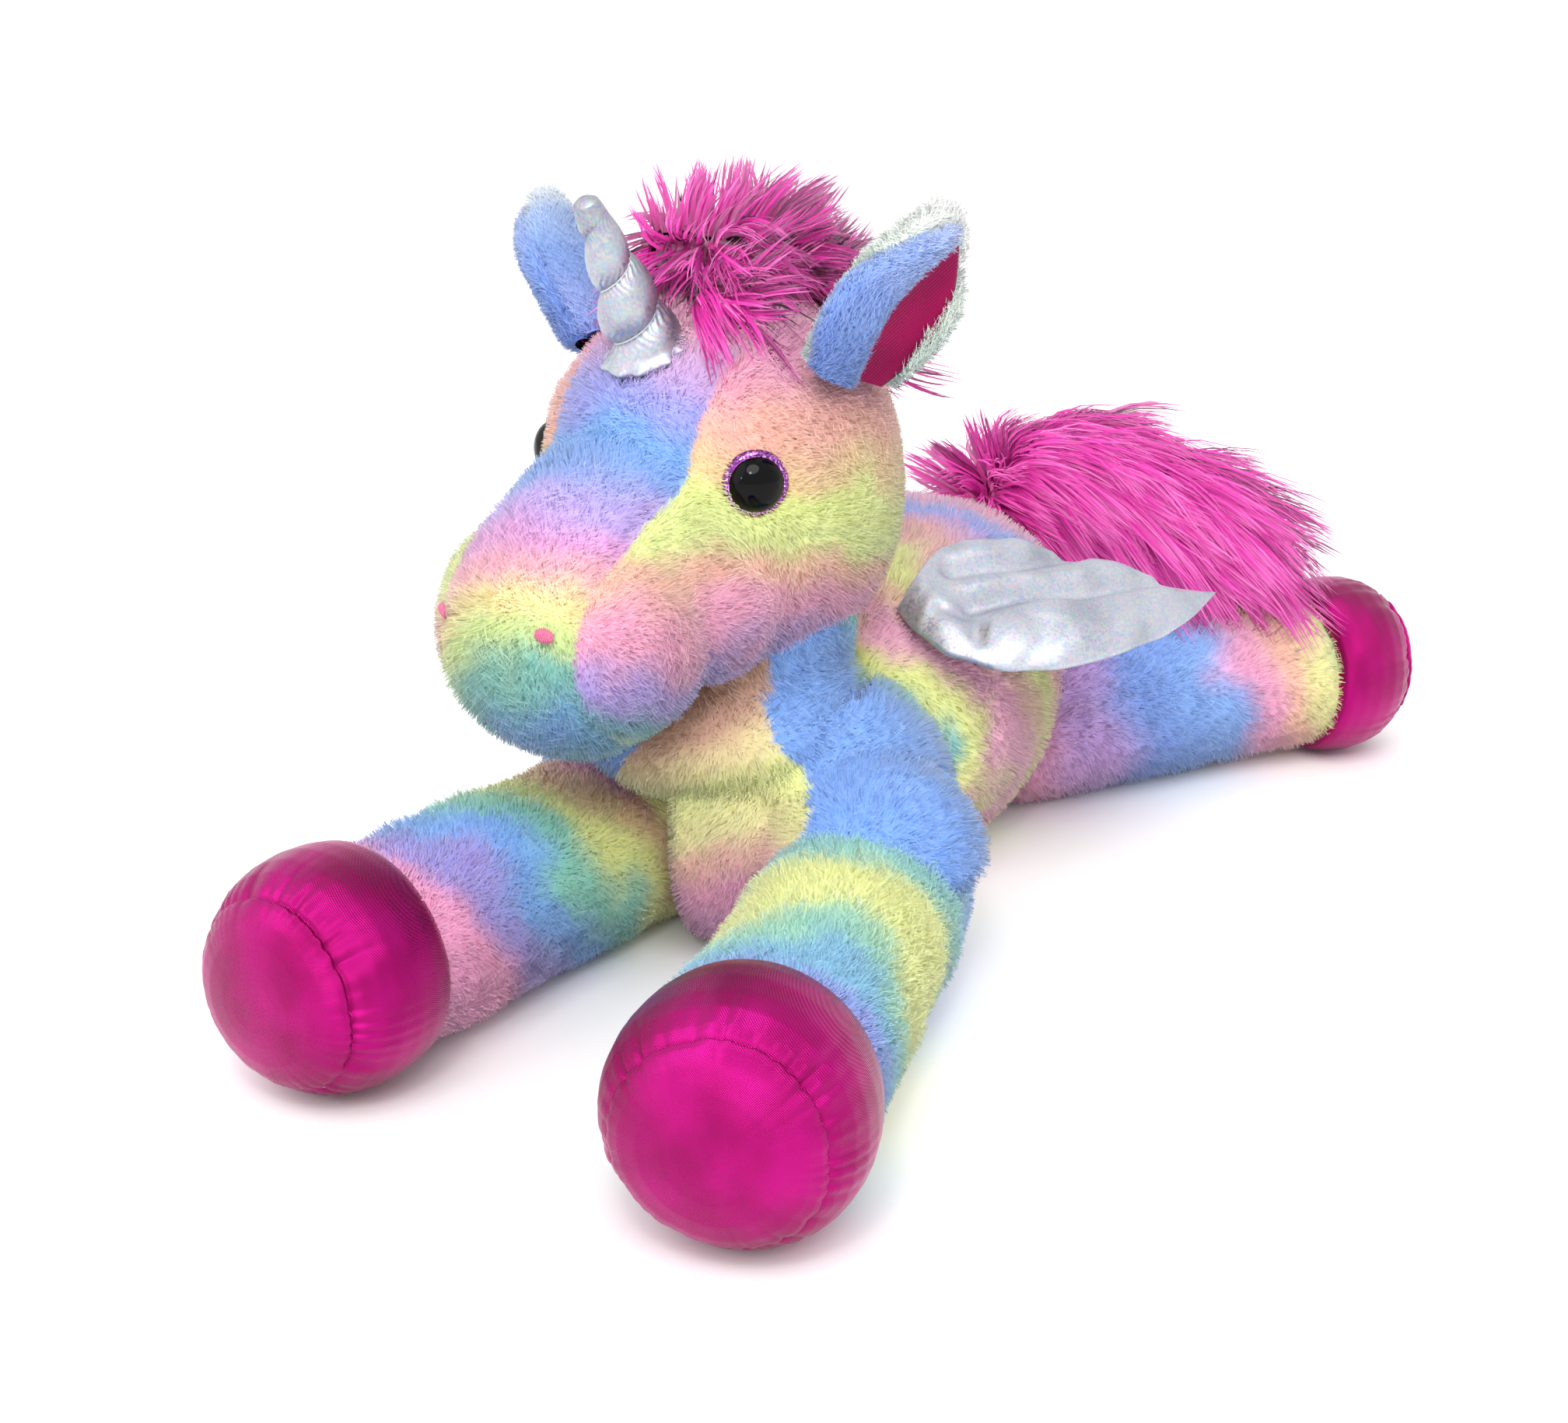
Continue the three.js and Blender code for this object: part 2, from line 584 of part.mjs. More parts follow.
function addWing(name, side) {
  const { toeIn, droop, roll } = wing.angles;
  const up = rad(wing.up);
  const rise = (wing.root / 2) * Math.sin(rad(roll)) * Math.sin(up);
  const seats = [-1, 0, 1].map((end) => {
    const hollow = (1 - girth(wing.rootY + (end * wing.root) / 2)) * (barrel.width / 2);
    return -hollow - end * rise;
  });
  const off = wing.seam + Math.max(...seats);
  const group = new THREE.Group();
  group.position.set(
    side * (barrel.width / 2 + off) * Math.cos(up),
    wing.rootY,
    barrelZ + (barrel.height / 2 + off) * Math.sin(up),
  );
  const heading = side > 0 ? -rad(toeIn) : Math.PI + rad(toeIn);
  group.rotation.set(side * rad(roll), rad(droop), heading, "ZYX");
  toy.add(group);
  const cover = cut(wingPillow(0), wingPillow(foil));
  const big = 2 * wing.length;
  const seam = seamGap / 2;
  const layers = {
    top_foil: keep(cover, block([-big, -big, seam], [big, big, big])),
    bottom_foil: keep(cover, block([-big, -big, -big], [big, big, -seam])),
    batting: wingPillow(foil + seamGap),
  };
  for (const [label, layer] of Object.entries(layers)) {
    const shape = geometryOf(layer);
    if (side < 0) shape.rotateX(Math.PI);
    piece(`${name}_wing_${label}`, shape, label === "batting" ? "fibre" : "foil", group);
  }
}

// Tail: long pile round a slim core, lying out over the left hind leg from a round root in the rump.
const tailPath = new THREE.CatmullRomCurve3([
  new THREE.Vector3(tail.x, tailY, tail.z),
  new THREE.Vector3(tail.x + 22, tailY + 24, tail.z + 16),
  new THREE.Vector3(tail.x + 80, tailY + 42, tail.z + 2),
  new THREE.Vector3(tail.x + 146, tailY + 56, tail.z - 18),
]);

// A round bar along a path whose radius follows a rule of the share of the way along it.
function bar(path, radiusAt, steps, sides) {
  const section = new THREE.Shape();
  section.absarc(0, 0, 1, 0, 2 * Math.PI, false);
  const made = new THREE.ExtrudeGeometry(section, {
    extrudePath: path,
    steps,
    curveSegments: sides,
    bevelEnabled: false,
  });
  const place = made.attributes.position;
  const middles = path.getSpacedPoints(steps);
  const at = new THREE.Vector3();
  for (let i = 0; i < place.count; i++) {
    at.fromBufferAttribute(place, i);
    const gaps = middles.map((middle) => middle.distanceTo(at));
    const nearest = gaps.indexOf(Math.min(...gaps));
    at.sub(middles[nearest]).multiplyScalar(radiusAt(nearest / steps)).add(middles[nearest]);
    place.setXYZ(i, at.x, at.y, at.z);
  }
  return solidOf(made);
}

const atTailRoot = (radius) =>
  solidOf(new THREE.SphereGeometry(radius, 20, 14).rotateX(Math.PI / 2).translate(tail.x, tailY, tail.z));

function addTail() {
  const { root, thick, tip, core } = tail;
  const swell = (t) => (t < 0.3 ? root + (thick - root) * (t / 0.3) : thick + (tip - thick) * ((t - 0.3) / 0.7));
  const close = (t) => Math.sqrt(1 - 0.9 * Math.max(0, (t - 0.8) / 0.2) ** 2);
  const steps = 10;
  const cover = join(bar(tailPath, (t) => swell(t) * close(t), steps, 7), atTailRoot(root));
  piece("tail_long_pile", largest(cut(cover, bar(tailPath, () => core, steps, 4))), "longPile");
  piece("tail_fill", bar(tailPath, () => core - fillGap, steps, 4), "fibre");
}

addTorso();
legs.forEach(addLeg);
addNeck();
addHead();
addMane();
addEar("left", 1);
addEar("right", -1);
addHorn();
addWing("left", 1);
addWing("right", -1);
addTail();

export default toy;
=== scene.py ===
import json
import math
import bpy
import bmesh
import numpy as np
from mathutils import Matrix, Vector, kdtree


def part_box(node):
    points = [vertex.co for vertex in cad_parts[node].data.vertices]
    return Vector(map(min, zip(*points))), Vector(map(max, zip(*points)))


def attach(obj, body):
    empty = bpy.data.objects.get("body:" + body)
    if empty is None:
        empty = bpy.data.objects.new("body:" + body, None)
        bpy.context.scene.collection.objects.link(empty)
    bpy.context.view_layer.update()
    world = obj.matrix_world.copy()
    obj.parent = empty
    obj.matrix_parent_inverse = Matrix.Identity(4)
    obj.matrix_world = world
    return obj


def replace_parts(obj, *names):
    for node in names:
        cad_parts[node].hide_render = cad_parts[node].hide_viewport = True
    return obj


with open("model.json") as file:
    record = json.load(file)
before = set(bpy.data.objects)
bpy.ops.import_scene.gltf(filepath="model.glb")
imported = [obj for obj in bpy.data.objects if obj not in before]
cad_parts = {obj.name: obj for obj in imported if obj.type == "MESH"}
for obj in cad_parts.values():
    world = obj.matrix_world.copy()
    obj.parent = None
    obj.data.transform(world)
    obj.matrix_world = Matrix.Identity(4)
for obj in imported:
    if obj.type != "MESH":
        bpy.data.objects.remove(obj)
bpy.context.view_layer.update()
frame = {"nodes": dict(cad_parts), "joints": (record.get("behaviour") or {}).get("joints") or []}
scene = bpy.context.scene
nodes = frame["nodes"]
joints = {joint["name"]: joint for joint in frame["joints"]}
rng = np.random.default_rng(41)


# camera

camera = {"place": (0.39623, -0.97109, 0.4325), "pitch": 71.4, "heading": 24.0, "lens": 50.0}
view = bpy.data.cameras.new("camera")
view.lens = camera["lens"]
view.sensor_width = 36.0
viewer = bpy.data.objects.new("camera", view)
viewer.location = camera["place"]
viewer.rotation_euler = (math.radians(camera["pitch"]), 0, math.radians(camera["heading"]))
scene.collection.objects.link(viewer)
scene.camera = viewer


class Wire:
    # one socket in a shader, so that maths on it reads as maths
    def __init__(self, tree, socket=None):
        self.tree = tree
        self.socket = socket

    def node(self, kind, settings=None, inputs=None, output=0):
        made = self.tree.nodes.new(kind)
        for key, value in (settings or {}).items():
            setattr(made, key, value)
        for key, value in (inputs or {}).items():
            if isinstance(value, Wire):
                self.tree.links.new(value.socket, made.inputs[key])
            else:
                made.inputs[key].default_value = value
        return Wire(self.tree, made.outputs[output] if len(made.outputs) else None)

    def maths(self, operation, *others):
        values = dict(enumerate((self,) + others))
        if any(isinstance(v, Wire) and v.socket.type != "VALUE" for v in values.values()):
            spread = {k: v if isinstance(v, (Wire, tuple)) else (v, v, v) for k, v in values.items()}
            return self.node("ShaderNodeVectorMath", {"operation": operation}, spread)
        return self.node("ShaderNodeMath", {"operation": operation}, values)

    def __add__(self, other):
        return self.maths("ADD", other)

    __radd__ = __add__

    def __sub__(self, other):
        return self.maths("SUBTRACT", other)

    def __rsub__(self, other):
        return self.maths("MULTIPLY", -1.0).maths("ADD", other)

    def __mul__(self, other):
        return self.maths("MULTIPLY", other)

    def __truediv__(self, other):
        return self.maths("DIVIDE", other)

    def most(self, other):
        return self.maths("MAXIMUM", other)

    def sine(self):
        return self.maths("SINE")

    def dot(self, direction):
        return self.node("ShaderNodeVectorMath", {"operation": "DOT_PRODUCT"}, {0: self, 1: direction}, 1)

    def step(self, low, high):
        return self.node(
            "ShaderNodeMapRange",
            {"interpolation_type": "SMOOTHSTEP"},
            {"Value": self, "From Min": low, "From Max": high},
        )

    def mix(self, other, share):
        settings = {"data_type": "RGBA", "blend_type": "MIX", "clamp_factor": True}
        return self.node("ShaderNodeMix", settings, {0: share, 6: self, 7: other}, 2)

    def noise(self, scale, detail):
        return self.node("ShaderNodeTexNoise", {}, {"Vector": self, "Scale": scale, "Detail": detail})

    def bump(self, height, strength, distance):
        return self.node("ShaderNodeBump", {}, {"Strength": strength, "Distance": distance, "Height": height})


def hexed(code):
    # a screen colour as the linear numbers a shader takes
    parts = [int(code[i : i + 2], 16) / 255 for i in (1, 3, 5)]
    return tuple([c / 12.92 if c < 0.04045 else ((c + 0.055) / 1.055) ** 2.4 for c in parts] + [1.0])


def ramp(value, stops):
    # colours along a value, written as (place, colour) pairs
    made = value.tree.nodes.new("ShaderNodeValToRGB")
    made.color_ramp.interpolation = "EASE"
    points = made.color_ramp.elements
    while len(points) < len(stops):
        points.new(0.5)
    for point, (at, colour) in zip(points, stops):
        point.position = at
        point.color = hexed(colour)
    value.tree.links.new(value.socket, made.inputs[0])
    return Wire(value.tree, made.outputs[0])


def plainColour(start, code):
    made = start.node("ShaderNodeRGB")
    made.socket.default_value = hexed(code)
    return made


def material(name, build):
    made = bpy.data.materials.new(name)
    made.use_nodes = True
    tree = made.node_tree
    tree.nodes.clear()
    start = Wire(tree)
    shader = build(start)
    start.node("ShaderNodeOutputMaterial", {}, {"Surface": shader})
    return made


def place(start):
    # where a point lies on its own piece
    return start.node("ShaderNodeTexCoord", {}, {}, 3)


def stored(start, name, vector=False):
    return start.node("ShaderNodeAttribute", {"attribute_name": name}, {}, 1 if vector else 2)


def outward(start):
    # the way the pile faces, kept on both sides of a hair, so that no hair turns dark from behind
    settings = {"vector_type": "NORMAL", "convert_from": "OBJECT", "convert_to": "WORLD"}
    return start.node("ShaderNodeVectorTransform", settings, {"Vector": stored(start, "out", True)})


def surface(start, **inputs):
    # the one shader of every look; an input's name is written with underscores
    named = {key.replace("_", " "): value for key, value in inputs.items()}
    return start.node("ShaderNodeBsdfPrincipled", {}, named)


# looks

foilTints = [(0.0, "#c4c8ff"), (0.25, "#b9f0ff"), (0.5, "#f4ffe0"), (0.75, "#ffd2ea"), (1.0, "#d8c2ff")]


def dyed(at, dyes, along, low, high, wander=0.09):
    # soft pastel bands: dyes are read along a direction from low to high, at places that drift
    share = (at.dot(along) - low) / (high - low)
    drift = (at.noise(16.0, 1.0) - 0.5) * (wander * 3.4)
    fine = (at.noise(70.0, 1.0) - 0.5) * (wander * 0.7)
    return ramp(share + drift + fine, dyes)


def tieDyeWithPaintedShade(name, cloth, patch=None):
    # plush cut from one dyed cloth, or with a second cloth sewn in where the skin says so; over the dye, some
    # hairs are darkened towards their roots as painted shade, and every hair is paled towards its tip as a
    # painted highlight
    def build(start):
        at = stored(start, "root", True)
        colour = dyed(at, *cloth)
        if patch is not None:
            colour = colour.mix(dyed(at, *patch), stored(start, "patch"))
        hair = stored(start, "strand")
        rise = stored(start, "along")
        # painted shade: hairs with a high strand number are deepened towards their roots, more on some hairs
        # than on others
        colour = colour.mix(colour * colour, (hair - 0.5).most(0.0) * 0.9 * (1.0 - rise))
        # painted highlight: the outer part of each hair is paled towards white, more on some hairs than on
        # others
        colour = colour.mix(hexed("#ffffff"), rise.step(0.3, 1.0) * (hair * 0.3 + 0.04))
        return surface(start, Base_Color=colour, Roughness=0.8, Sheen_Weight=0.3, Sheen_Roughness=0.5,
                       Specular_IOR_Level=0.15, Normal=outward(start))

    return material(name, build)


def longPile(name):
    # pink yarn with painted shade, darker at its root and paler at its tip, some hairs paler or deeper than
    # the rest
    def build(start):
        hair = stored(start, "strand")
        rise = stored(start, "along")
        # painted shade: the ramp runs from dark at the root to pale at the tip
        colour = ramp(rise, [(0.0, "#a00468"), (0.3, "#cc1690"), (0.65, "#e236a8"), (1.0, "#f06cc0")])
        colour = colour.mix(hexed("#f9a4d8"), hair.step(0.8, 1.0) * 0.4)
        colour = colour.mix(hexed("#cc1496"), hair.step(0.25, 0.0) * 0.5)
        return surface(start, Base_Color=colour, Roughness=0.5, Sheen_Weight=0.2, Specular_IOR_Level=0.35,
                       Normal=outward(start))

    return material(name, build)


def satin(name, deep, bright, weave):
    # woven metallic cloth; weave is its threads' wave number, in radians per metre
    def build(start):
        at = place(start)
        threads = at.dot((weave, weave * 0.2, 0)).sine() * at.dot((0, weave * 0.2, weave)).sine() * 0.5 + 0.5
        cloud = at.noise(26.0, 3.0)
        colour = plainColour(start, deep).mix(hexed(bright), (threads * 0.25 + cloud * 0.75).step(0.3, 0.75))
        normal = start.bump(threads * 0.5 + cloud * 2.0, 0.4, 0.0012)
        return surface(start, Base_Color=colour, Metallic=0.88, Roughness=0.29, Normal=normal)

    return material(name, build)


def foilCloth(name, dark, bright):
    # silver cloth covered in fine flakes, each with a tint and a gloss of its own
    def build(start):
        at = place(start)
        grain = start.node("ShaderNodeTexVoronoi", {"feature": "F1"}, {"Vector": at, "Scale": 900.0}, 1)
        hue = grain.node("ShaderNodeSeparateColor", {}, {0: grain}, 0)
        cloud = at.noise(18.0, 3.0)
        base = ramp(cloud, [(0.3, dark), (0.5, bright), (0.7, dark)])
        tint = ramp(hue, foilTints)
        colour = base.mix(tint, cloud * 0.3 + 0.12)
        rough = 0.34 + hue * 0.22
        normal = start.bump(hue, 0.12, 0.0005)
        return surface(start, Base_Color=colour, Metallic=0.85, Roughness=rough, Normal=normal)

    return material(name, build)


def glitter(name):
    def build(start):
        at = place(start)
        grain = start.node("ShaderNodeTexVoronoi", {"feature": "F1"}, {"Vector": at, "Scale": 1500.0}, 1)
        hue = grain.node("ShaderNodeSeparateColor", {}, {0: grain}, 0)
        colour = ramp(hue, [(0.0, "#3a0a4a"), (0.4, "#7a2a80"), (0.7, "#b04ac0"), (1.0, "#f0b0ff")])
        normal = start.bump(hue, 0.8, 0.001)
        return surface(start, Base_Color=colour, Metallic=0.8, Roughness=0.25, Normal=normal, Coat_Weight=0.6)

    return material(name, build)


def plastic(name, colour, rough):
    def build(start):
        at = place(start)
        haze = at.noise(300.0, 3.0)
        tone = plainColour(start, colour).mix(hexed("#000000"), haze * 0.15)
        return surface(start, Base_Color=tone, Roughness=haze * 0.03 + rough, Specular_IOR_Level=0.16)

    return material(name, build)


def fibre(name, colour, scale):
    def build(start):
        at = place(start)
        fluff = at.noise(scale, 4.0)
        tone = plainColour(start, colour).mix(hexed("#ffffff"), fluff * 0.3)
        normal = start.bump(fluff, 0.5, 0.002)
        return surface(start, Base_Color=tone, Roughness=0.9, Normal=normal)

    return material(name, build)


# meshes

def newObject(name, mesh, body, look):
    # a piece of the seen object, riding its body, in the material slot named
    made = bpy.data.objects.new(name, mesh)
    scene.collection.objects.link(made)
    mesh.materials.clear()
    mesh.materials.append(look)
    mesh.shade_smooth()
    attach(made, body)
    return made


def numbers(items, key, width, kind=np.float32):
    # one property of many mesh items, as an array
    found = np.zeros(len(items) * width, kind)
    items.foreach_get(key, found)
    return found.reshape(-1, width) if width > 1 else found


def corners(name):
    return numbers(nodes[name].data.vertices, "co", 3).astype(float)


def middle(name):
    low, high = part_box(name)
    return np.array((low + high) / 2)


def unit(vectors):
    # each vector at length one
    return vectors / np.maximum(np.linalg.norm(vectors, axis=-1, keepdims=True), 1e-9)


def square(vector, to):
    # what is left of a vector square to another, as a unit vector
    return unit(vector - np.dot(vector, to) * to)


def inFrame(points, origin, axes):
    return (points - origin) @ np.array(axes).T


def outFrame(points, origin, axes):
    return np.asarray(origin) + points @ np.array(axes)


def waves(point, scale, seed):
    # smooth made-up noise from a few sines, about -1 to 1
    own = np.random.default_rng(seed)
    total = np.zeros(point.shape[:-1])
    for _ in range(6):
        total += np.sin(point @ own.normal(0, scale, point.shape[-1]) + own.uniform(0, 6.28))
    return total / 2.5


def bell(distance, width):
    return np.exp(-((distance / width) ** 2))


def remeshed(name, names, voxel, passes, inset=0.0, lump=0.0, groove=None, caps=()):
    # one smooth closed skin round some CAD solids, drawn in a little from their surface
    bm = bmesh.new()
    for part in names:
        bm.from_mesh(nodes[part].data)
    bmesh.ops.remove_doubles(bm, verts=bm.verts, dist=1e-6)
    for centre, size, low in caps:
        shape = Matrix.Translation(centre) @ Matrix.Diagonal((*size, 1))
        ball = bmesh.ops.create_icosphere(bm, subdivisions=4, radius=1, matrix=shape)["verts"]
        for vertex in ball:
            vertex.co.z = max(vertex.co.z, low + (vertex.co.z - low) * 0.08)
    mesh = bpy.data.meshes.new(name)
    bm.to_mesh(mesh)
    bm.free()
    made = bpy.data.objects.new(name, mesh)
    scene.collection.objects.link(made)
    fine = made.modifiers.new("remesh", "REMESH")
    fine.mode = "VOXEL"
    fine.voxel_size = voxel
    ease = made.modifiers.new("smooth", "SMOOTH")
    ease.factor = 0.5
    ease.iterations = passes
    done = bpy.data.meshes.new_from_object(made.evaluated_get(bpy.context.evaluated_depsgraph_get()))
    bpy.data.objects.remove(made)
    done.name = name
    at = numbers(done.vertices, "co", 3).astype(float)
    out = numbers(done.vertices, "normal", 3).astype(float)
    sink = inset + lump * waves(at, 45.0, 11)
    if groove is not None:
        sink = sink + groove(at)
    at = at - out * np.broadcast_to(sink, len(at))[:, None]
    at[:, 2] = np.maximum(at[:, 2], 0.0006)
    done.vertices.foreach_set("co", at.astype(np.float32).ravel())
    done.update()
    return done


def gridMesh(name, layers):
    # quads over each (rows, columns, 3) grid of points, welded where the grids meet
    points, faces, start = [], [], 0
    for grid in layers:
        rows, columns = grid.shape[:2]
        index = np.arange(rows * columns).reshape(rows, columns) + start
        quads = np.stack([index[:-1, :-1], index[1:, :-1], index[1:, 1:], index[:-1, 1:]], -1).reshape(-1, 4)
        points.append(grid.reshape(-1, 3))
        faces.append(quads)
        start += rows * columns
    mesh = bpy.data.meshes.new(name)
    mesh.from_pydata(np.concatenate(points).tolist(), [], np.concatenate(faces).tolist())
    bm = bmesh.new()
    bm.from_mesh(mesh)
    bmesh.ops.remove_doubles(bm, verts=bm.verts, dist=2e-5)
    bmesh.ops.dissolve_degenerate(bm, edges=bm.edges, dist=1e-6)
    bmesh.ops.recalc_face_normals(bm, faces=bm.faces)
    bm.to_mesh(mesh)
    bm.free()
    return mesh


def pillow(name, sheet, half):
    # a pad: a sheet of points thickened both ways by half, which is nought at its rim
    facing = unit(np.cross(np.gradient(sheet, axis=0), np.gradient(sheet, axis=1)))
    over = sheet + facing * half[..., None]
    under = sheet - facing * half[..., None]
    return gridMesh(name, [over, under[::-1]])


def setAttribute(mesh, name, kind, values):
    # one value for each vertex, for a material to read
    made = mesh.attributes.new(name, kind, "POINT")
    key = "vector" if kind == "FLOAT_VECTOR" else "value"
    made.data.foreach_set(key, np.ascontiguousarray(values, np.float32).ravel())


def scatter(mesh, count, accept=None):
    # points spread evenly over a mesh, each with the surface's normal there
    mesh.calc_loop_triangles()
    corner = numbers(mesh.loop_triangles, "vertices", 3, np.int32)
    at = numbers(mesh.vertices, "co", 3).astype(float)
    out = numbers(mesh.vertices, "normal", 3).astype(float)
    a, b, c = (at[corner[:, i]] for i in range(3))
    area = np.linalg.norm(np.cross(b - a, c - a), axis=1)
    if accept is not None:
        area = area * accept((a + b + c) / 3)
    pick = rng.choice(len(area), size=count, p=area / area.sum())
    u, v = rng.random(count), rng.random(count)
    flip = u + v > 1
    u[flip], v[flip] = 1 - u[flip], 1 - v[flip]
    share = np.stack([1 - u - v, u, v], 1)[:, :, None]
    return (at[corner[pick]] * share).sum(1), unit((out[corner[pick]] * share).sum(1))


def nearest(points, spots):
    tree = kdtree.KDTree(len(spots))
    for i, spot in enumerate(spots):
        tree.insert(spot, i)
    tree.balance()
    return np.array([tree.find(point)[1] for point in points])


def blades(name, paths, widths, dyedAt, body, look, shade):
    # flat hairs along paths (count, steps, 3), tapering to a point, each with its own cell of the colour map
    count, steps, _ = paths.shape
    facing = unit(shade + rng.normal(0, 0.3, (count, 3)))
    side = unit(np.cross(paths[:, 1] - paths[:, 0], facing))
    taper = np.linspace(1.0, 0.5, steps - 1)[None, :, None]
    spread = side[:, None] * widths[:, None, None] * taper / 2
    rows = np.stack([paths[:, :-1] - spread, paths[:, :-1] + spread], 2).reshape(count, -1, 3)
    points = np.concatenate([rows, paths[:, -1:]], 1)
    points[:, :, 2] = np.maximum(points[:, :, 2], 0.0003)
    per = points.shape[1]
    base = (np.arange(count) * per)[:, None]
    quads = np.array([[2 * i, 2 * i + 1, 2 * i + 3, 2 * i + 2] for i in range(steps - 2)]).reshape(1, -1)
    tip = np.array([[per - 3, per - 2, per - 1]])
    loops = np.concatenate([base + quads, base + tip], 1).ravel()
    sizes = np.tile(np.array([4] * (steps - 2) + [3]), count)
    mesh = bpy.data.meshes.new(name)
    mesh.vertices.add(count * per)
    mesh.vertices.foreach_set("co", points.astype(np.float32).ravel())
    mesh.loops.add(len(loops))
    mesh.loops.foreach_set("vertex_index", loops.astype(np.int32))
    mesh.polygons.add(len(sizes))
    mesh.polygons.foreach_set("loop_start", np.concatenate([[0], np.cumsum(sizes)[:-1]]).astype(np.int32))
    mesh.update(calc_edges=True)
    rise = np.concatenate([np.repeat(np.arange(steps - 1) / (steps - 1), 2), [1.0]])
    setAttribute(mesh, "root", "FLOAT_VECTOR", np.repeat(dyedAt, per, 0))
    setAttribute(mesh, "out", "FLOAT_VECTOR", np.repeat(shade, per, 0))
    setAttribute(mesh, "along", "FLOAT", np.tile(rise, count))
    setAttribute(mesh, "strand", "FLOAT", np.repeat(rng.random(count), per))
    wide = math.ceil(math.sqrt(count))
    cell = np.stack([np.arange(count) % wide, np.arange(count) // wide], 1) / wide
    across = np.concatenate([np.tile([0.1, 0.9], steps - 1), [0.5]])
    inside = np.stack([across, 0.05 + 0.9 * rise], 1) / wide
    chart = mesh.uv_layers.new(name="OFBake")
    chartAt = (cell[:, None] + inside[None]).reshape(-1, 2)
    chart.data.foreach_set("uv", chartAt[loops].astype(np.float32).ravel())
    made = newObject(name, mesh, body, look)
    mesh.normals_split_custom_set_from_vertices(np.repeat(shade, per, 0).astype(np.float32).tolist())
    return made


pile = {"length": 0.0095, "width": 0.00052, "lean": 0.72}  # lean is how far a hair lies over
hands = {"left": 1, "right": -1}


def fur(name, skin, body, look, count, comb, length=pile["length"], accept=None, trim=None, dyeFrame=None):
    # short pile over a skin, combed one way, with its tips drawn together in small tufts
    width = pile["width"]
    root, out = scatter(skin, count, accept)
    combed = np.tile(np.array(comb, float), (count, 1))
    flow = unit(combed - (combed * out).sum(1, keepdims=True) * out)
    bend = waves(root, 70.0, 3) * 0.8
    flow = unit(flow + np.cross(out, flow) * bend[:, None] + rng.normal(0, 0.35, (count, 3)))
    flow = unit(flow - (flow * out).sum(1, keepdims=True) * out)
    reach = length * (0.7 + 0.5 * rng.random(count)) * (1 + 0.18 * waves(root, 110.0, 5))
    if trim is not None:
        reach = reach * trim(root)
    lift = 1.0 - pile["lean"] * (0.6 + 0.5 * rng.random(count))
    tip = root + (out * lift[:, None] + flow * (1 - lift)[:, None]) * reach[:, None]
    tufts = scatter(skin, max(30, count // 12), accept)[0]
    pull = tufts[nearest(tip, tufts)] - tip
    pull = pull - (pull * out).sum(1, keepdims=True) * out
    tip = tip + pull * (0.05 + 0.35 * rng.random(count))[:, None]
    elbow = root + out * (reach * 0.4)[:, None] + (tip - root) * 0.3
    shade = unit(out + unit(tip - root) * 0.25 + rng.normal(0, 0.10, (count, 3)))
    dyedAt = root if dyeFrame is None else inFrame(root, *dyeFrame)
    thick = width * (0.7 + 0.6 * rng.random(count))
    made = blades(name, np.stack([root, elbow, tip], 1), thick, dyedAt, body, look, shade)
    made.visible_shadow = False  # hairs this fine scatter light: the skin casts the shadow
    return made


def longFur(name, core, body, look, flow, facts):
    # long pile: curved locks that follow a flow, drawn together in tufts towards their tips
    count, width, length = facts["count"], facts["width"], facts["length"]
    root, out = scatter(core, count)
    guide, guideOut = scatter(core, max(20, count // facts["tufted"]))
    near = nearest(root, guide)
    guideFlow = flow(guide, guideOut) + rng.normal(0, 0.22, guide.shape)
    guideReach = length * (0.75 + 0.5 * rng.random(len(guide)))
    steps = np.linspace(0, 1, 6)
    paths = []
    own = unit(flow(root, out) + rng.normal(0, 0.16, root.shape))
    reach = guideReach[near] * (0.7 + 0.4 * rng.random(count))
    led = unit(guideFlow)[near]
    wiggle = rng.normal(0, 0.02, (count, 3)) * length
    for t in steps:
        straight = root + (out * (1 - t * 0.55) * 0.7 + own * (0.3 + t * 0.55)) * (reach * t)[:, None]
        drawnOut = guideOut[near] * (1 - t * 0.55) * 0.7
        drawn = guide[near] + (drawnOut + led * (0.3 + t * 0.55)) * (reach * t)[:, None]
        share = 0.62 * t ** 0.7
        point = straight * (1 - share) + drawn * share + wiggle * math.sin(t * 3.1)
        point[:, 2] -= facts["sag"] * reach * t * t
        paths.append(point)
    paths = np.stack(paths, 1)
    shade = unit(out * 0.7 + guideOut[near] * 0.4 + rng.normal(0, 0.22, (count, 3)))
    thick = width * (0.6 + 0.8 * rng.random(count))
    made = blades(name, paths, thick, root, body, look, shade)
    made.visible_shadow = False
    return made


def skinPiece(name, mesh, body, look, replaced, dyeFrame=None,
              patch=None):
    # a stuffed skin, with what its plush material reads; patch says where its second cloth lies
    at = numbers(mesh.vertices, "co", 3).astype(float)
    if patch is not None:
        setAttribute(mesh, "patch", "FLOAT", patch(at))
    setAttribute(mesh, "root", "FLOAT_VECTOR", at if dyeFrame is None else inFrame(at, *dyeFrame))
    setAttribute(mesh, "out", "FLOAT_VECTOR", numbers(mesh.vertices, "normal", 3))
    setAttribute(mesh, "along", "FLOAT", np.full(len(at), 0.1))
    setAttribute(mesh, "strand", "FLOAT", np.full(len(at), 0.5))
    made = newObject(name, mesh, body, look)
    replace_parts(made, *replaced)
    return made


def discOf(name, away):
    # the middle and the outward normal of a flat round node
    at = corners(name)
    centre = middle(name)
    axes = np.linalg.eigh((at - centre).T @ (at - centre))[1]
    normal = axes[:, 0]
    return centre, normal * np.sign(normal @ (centre - away))


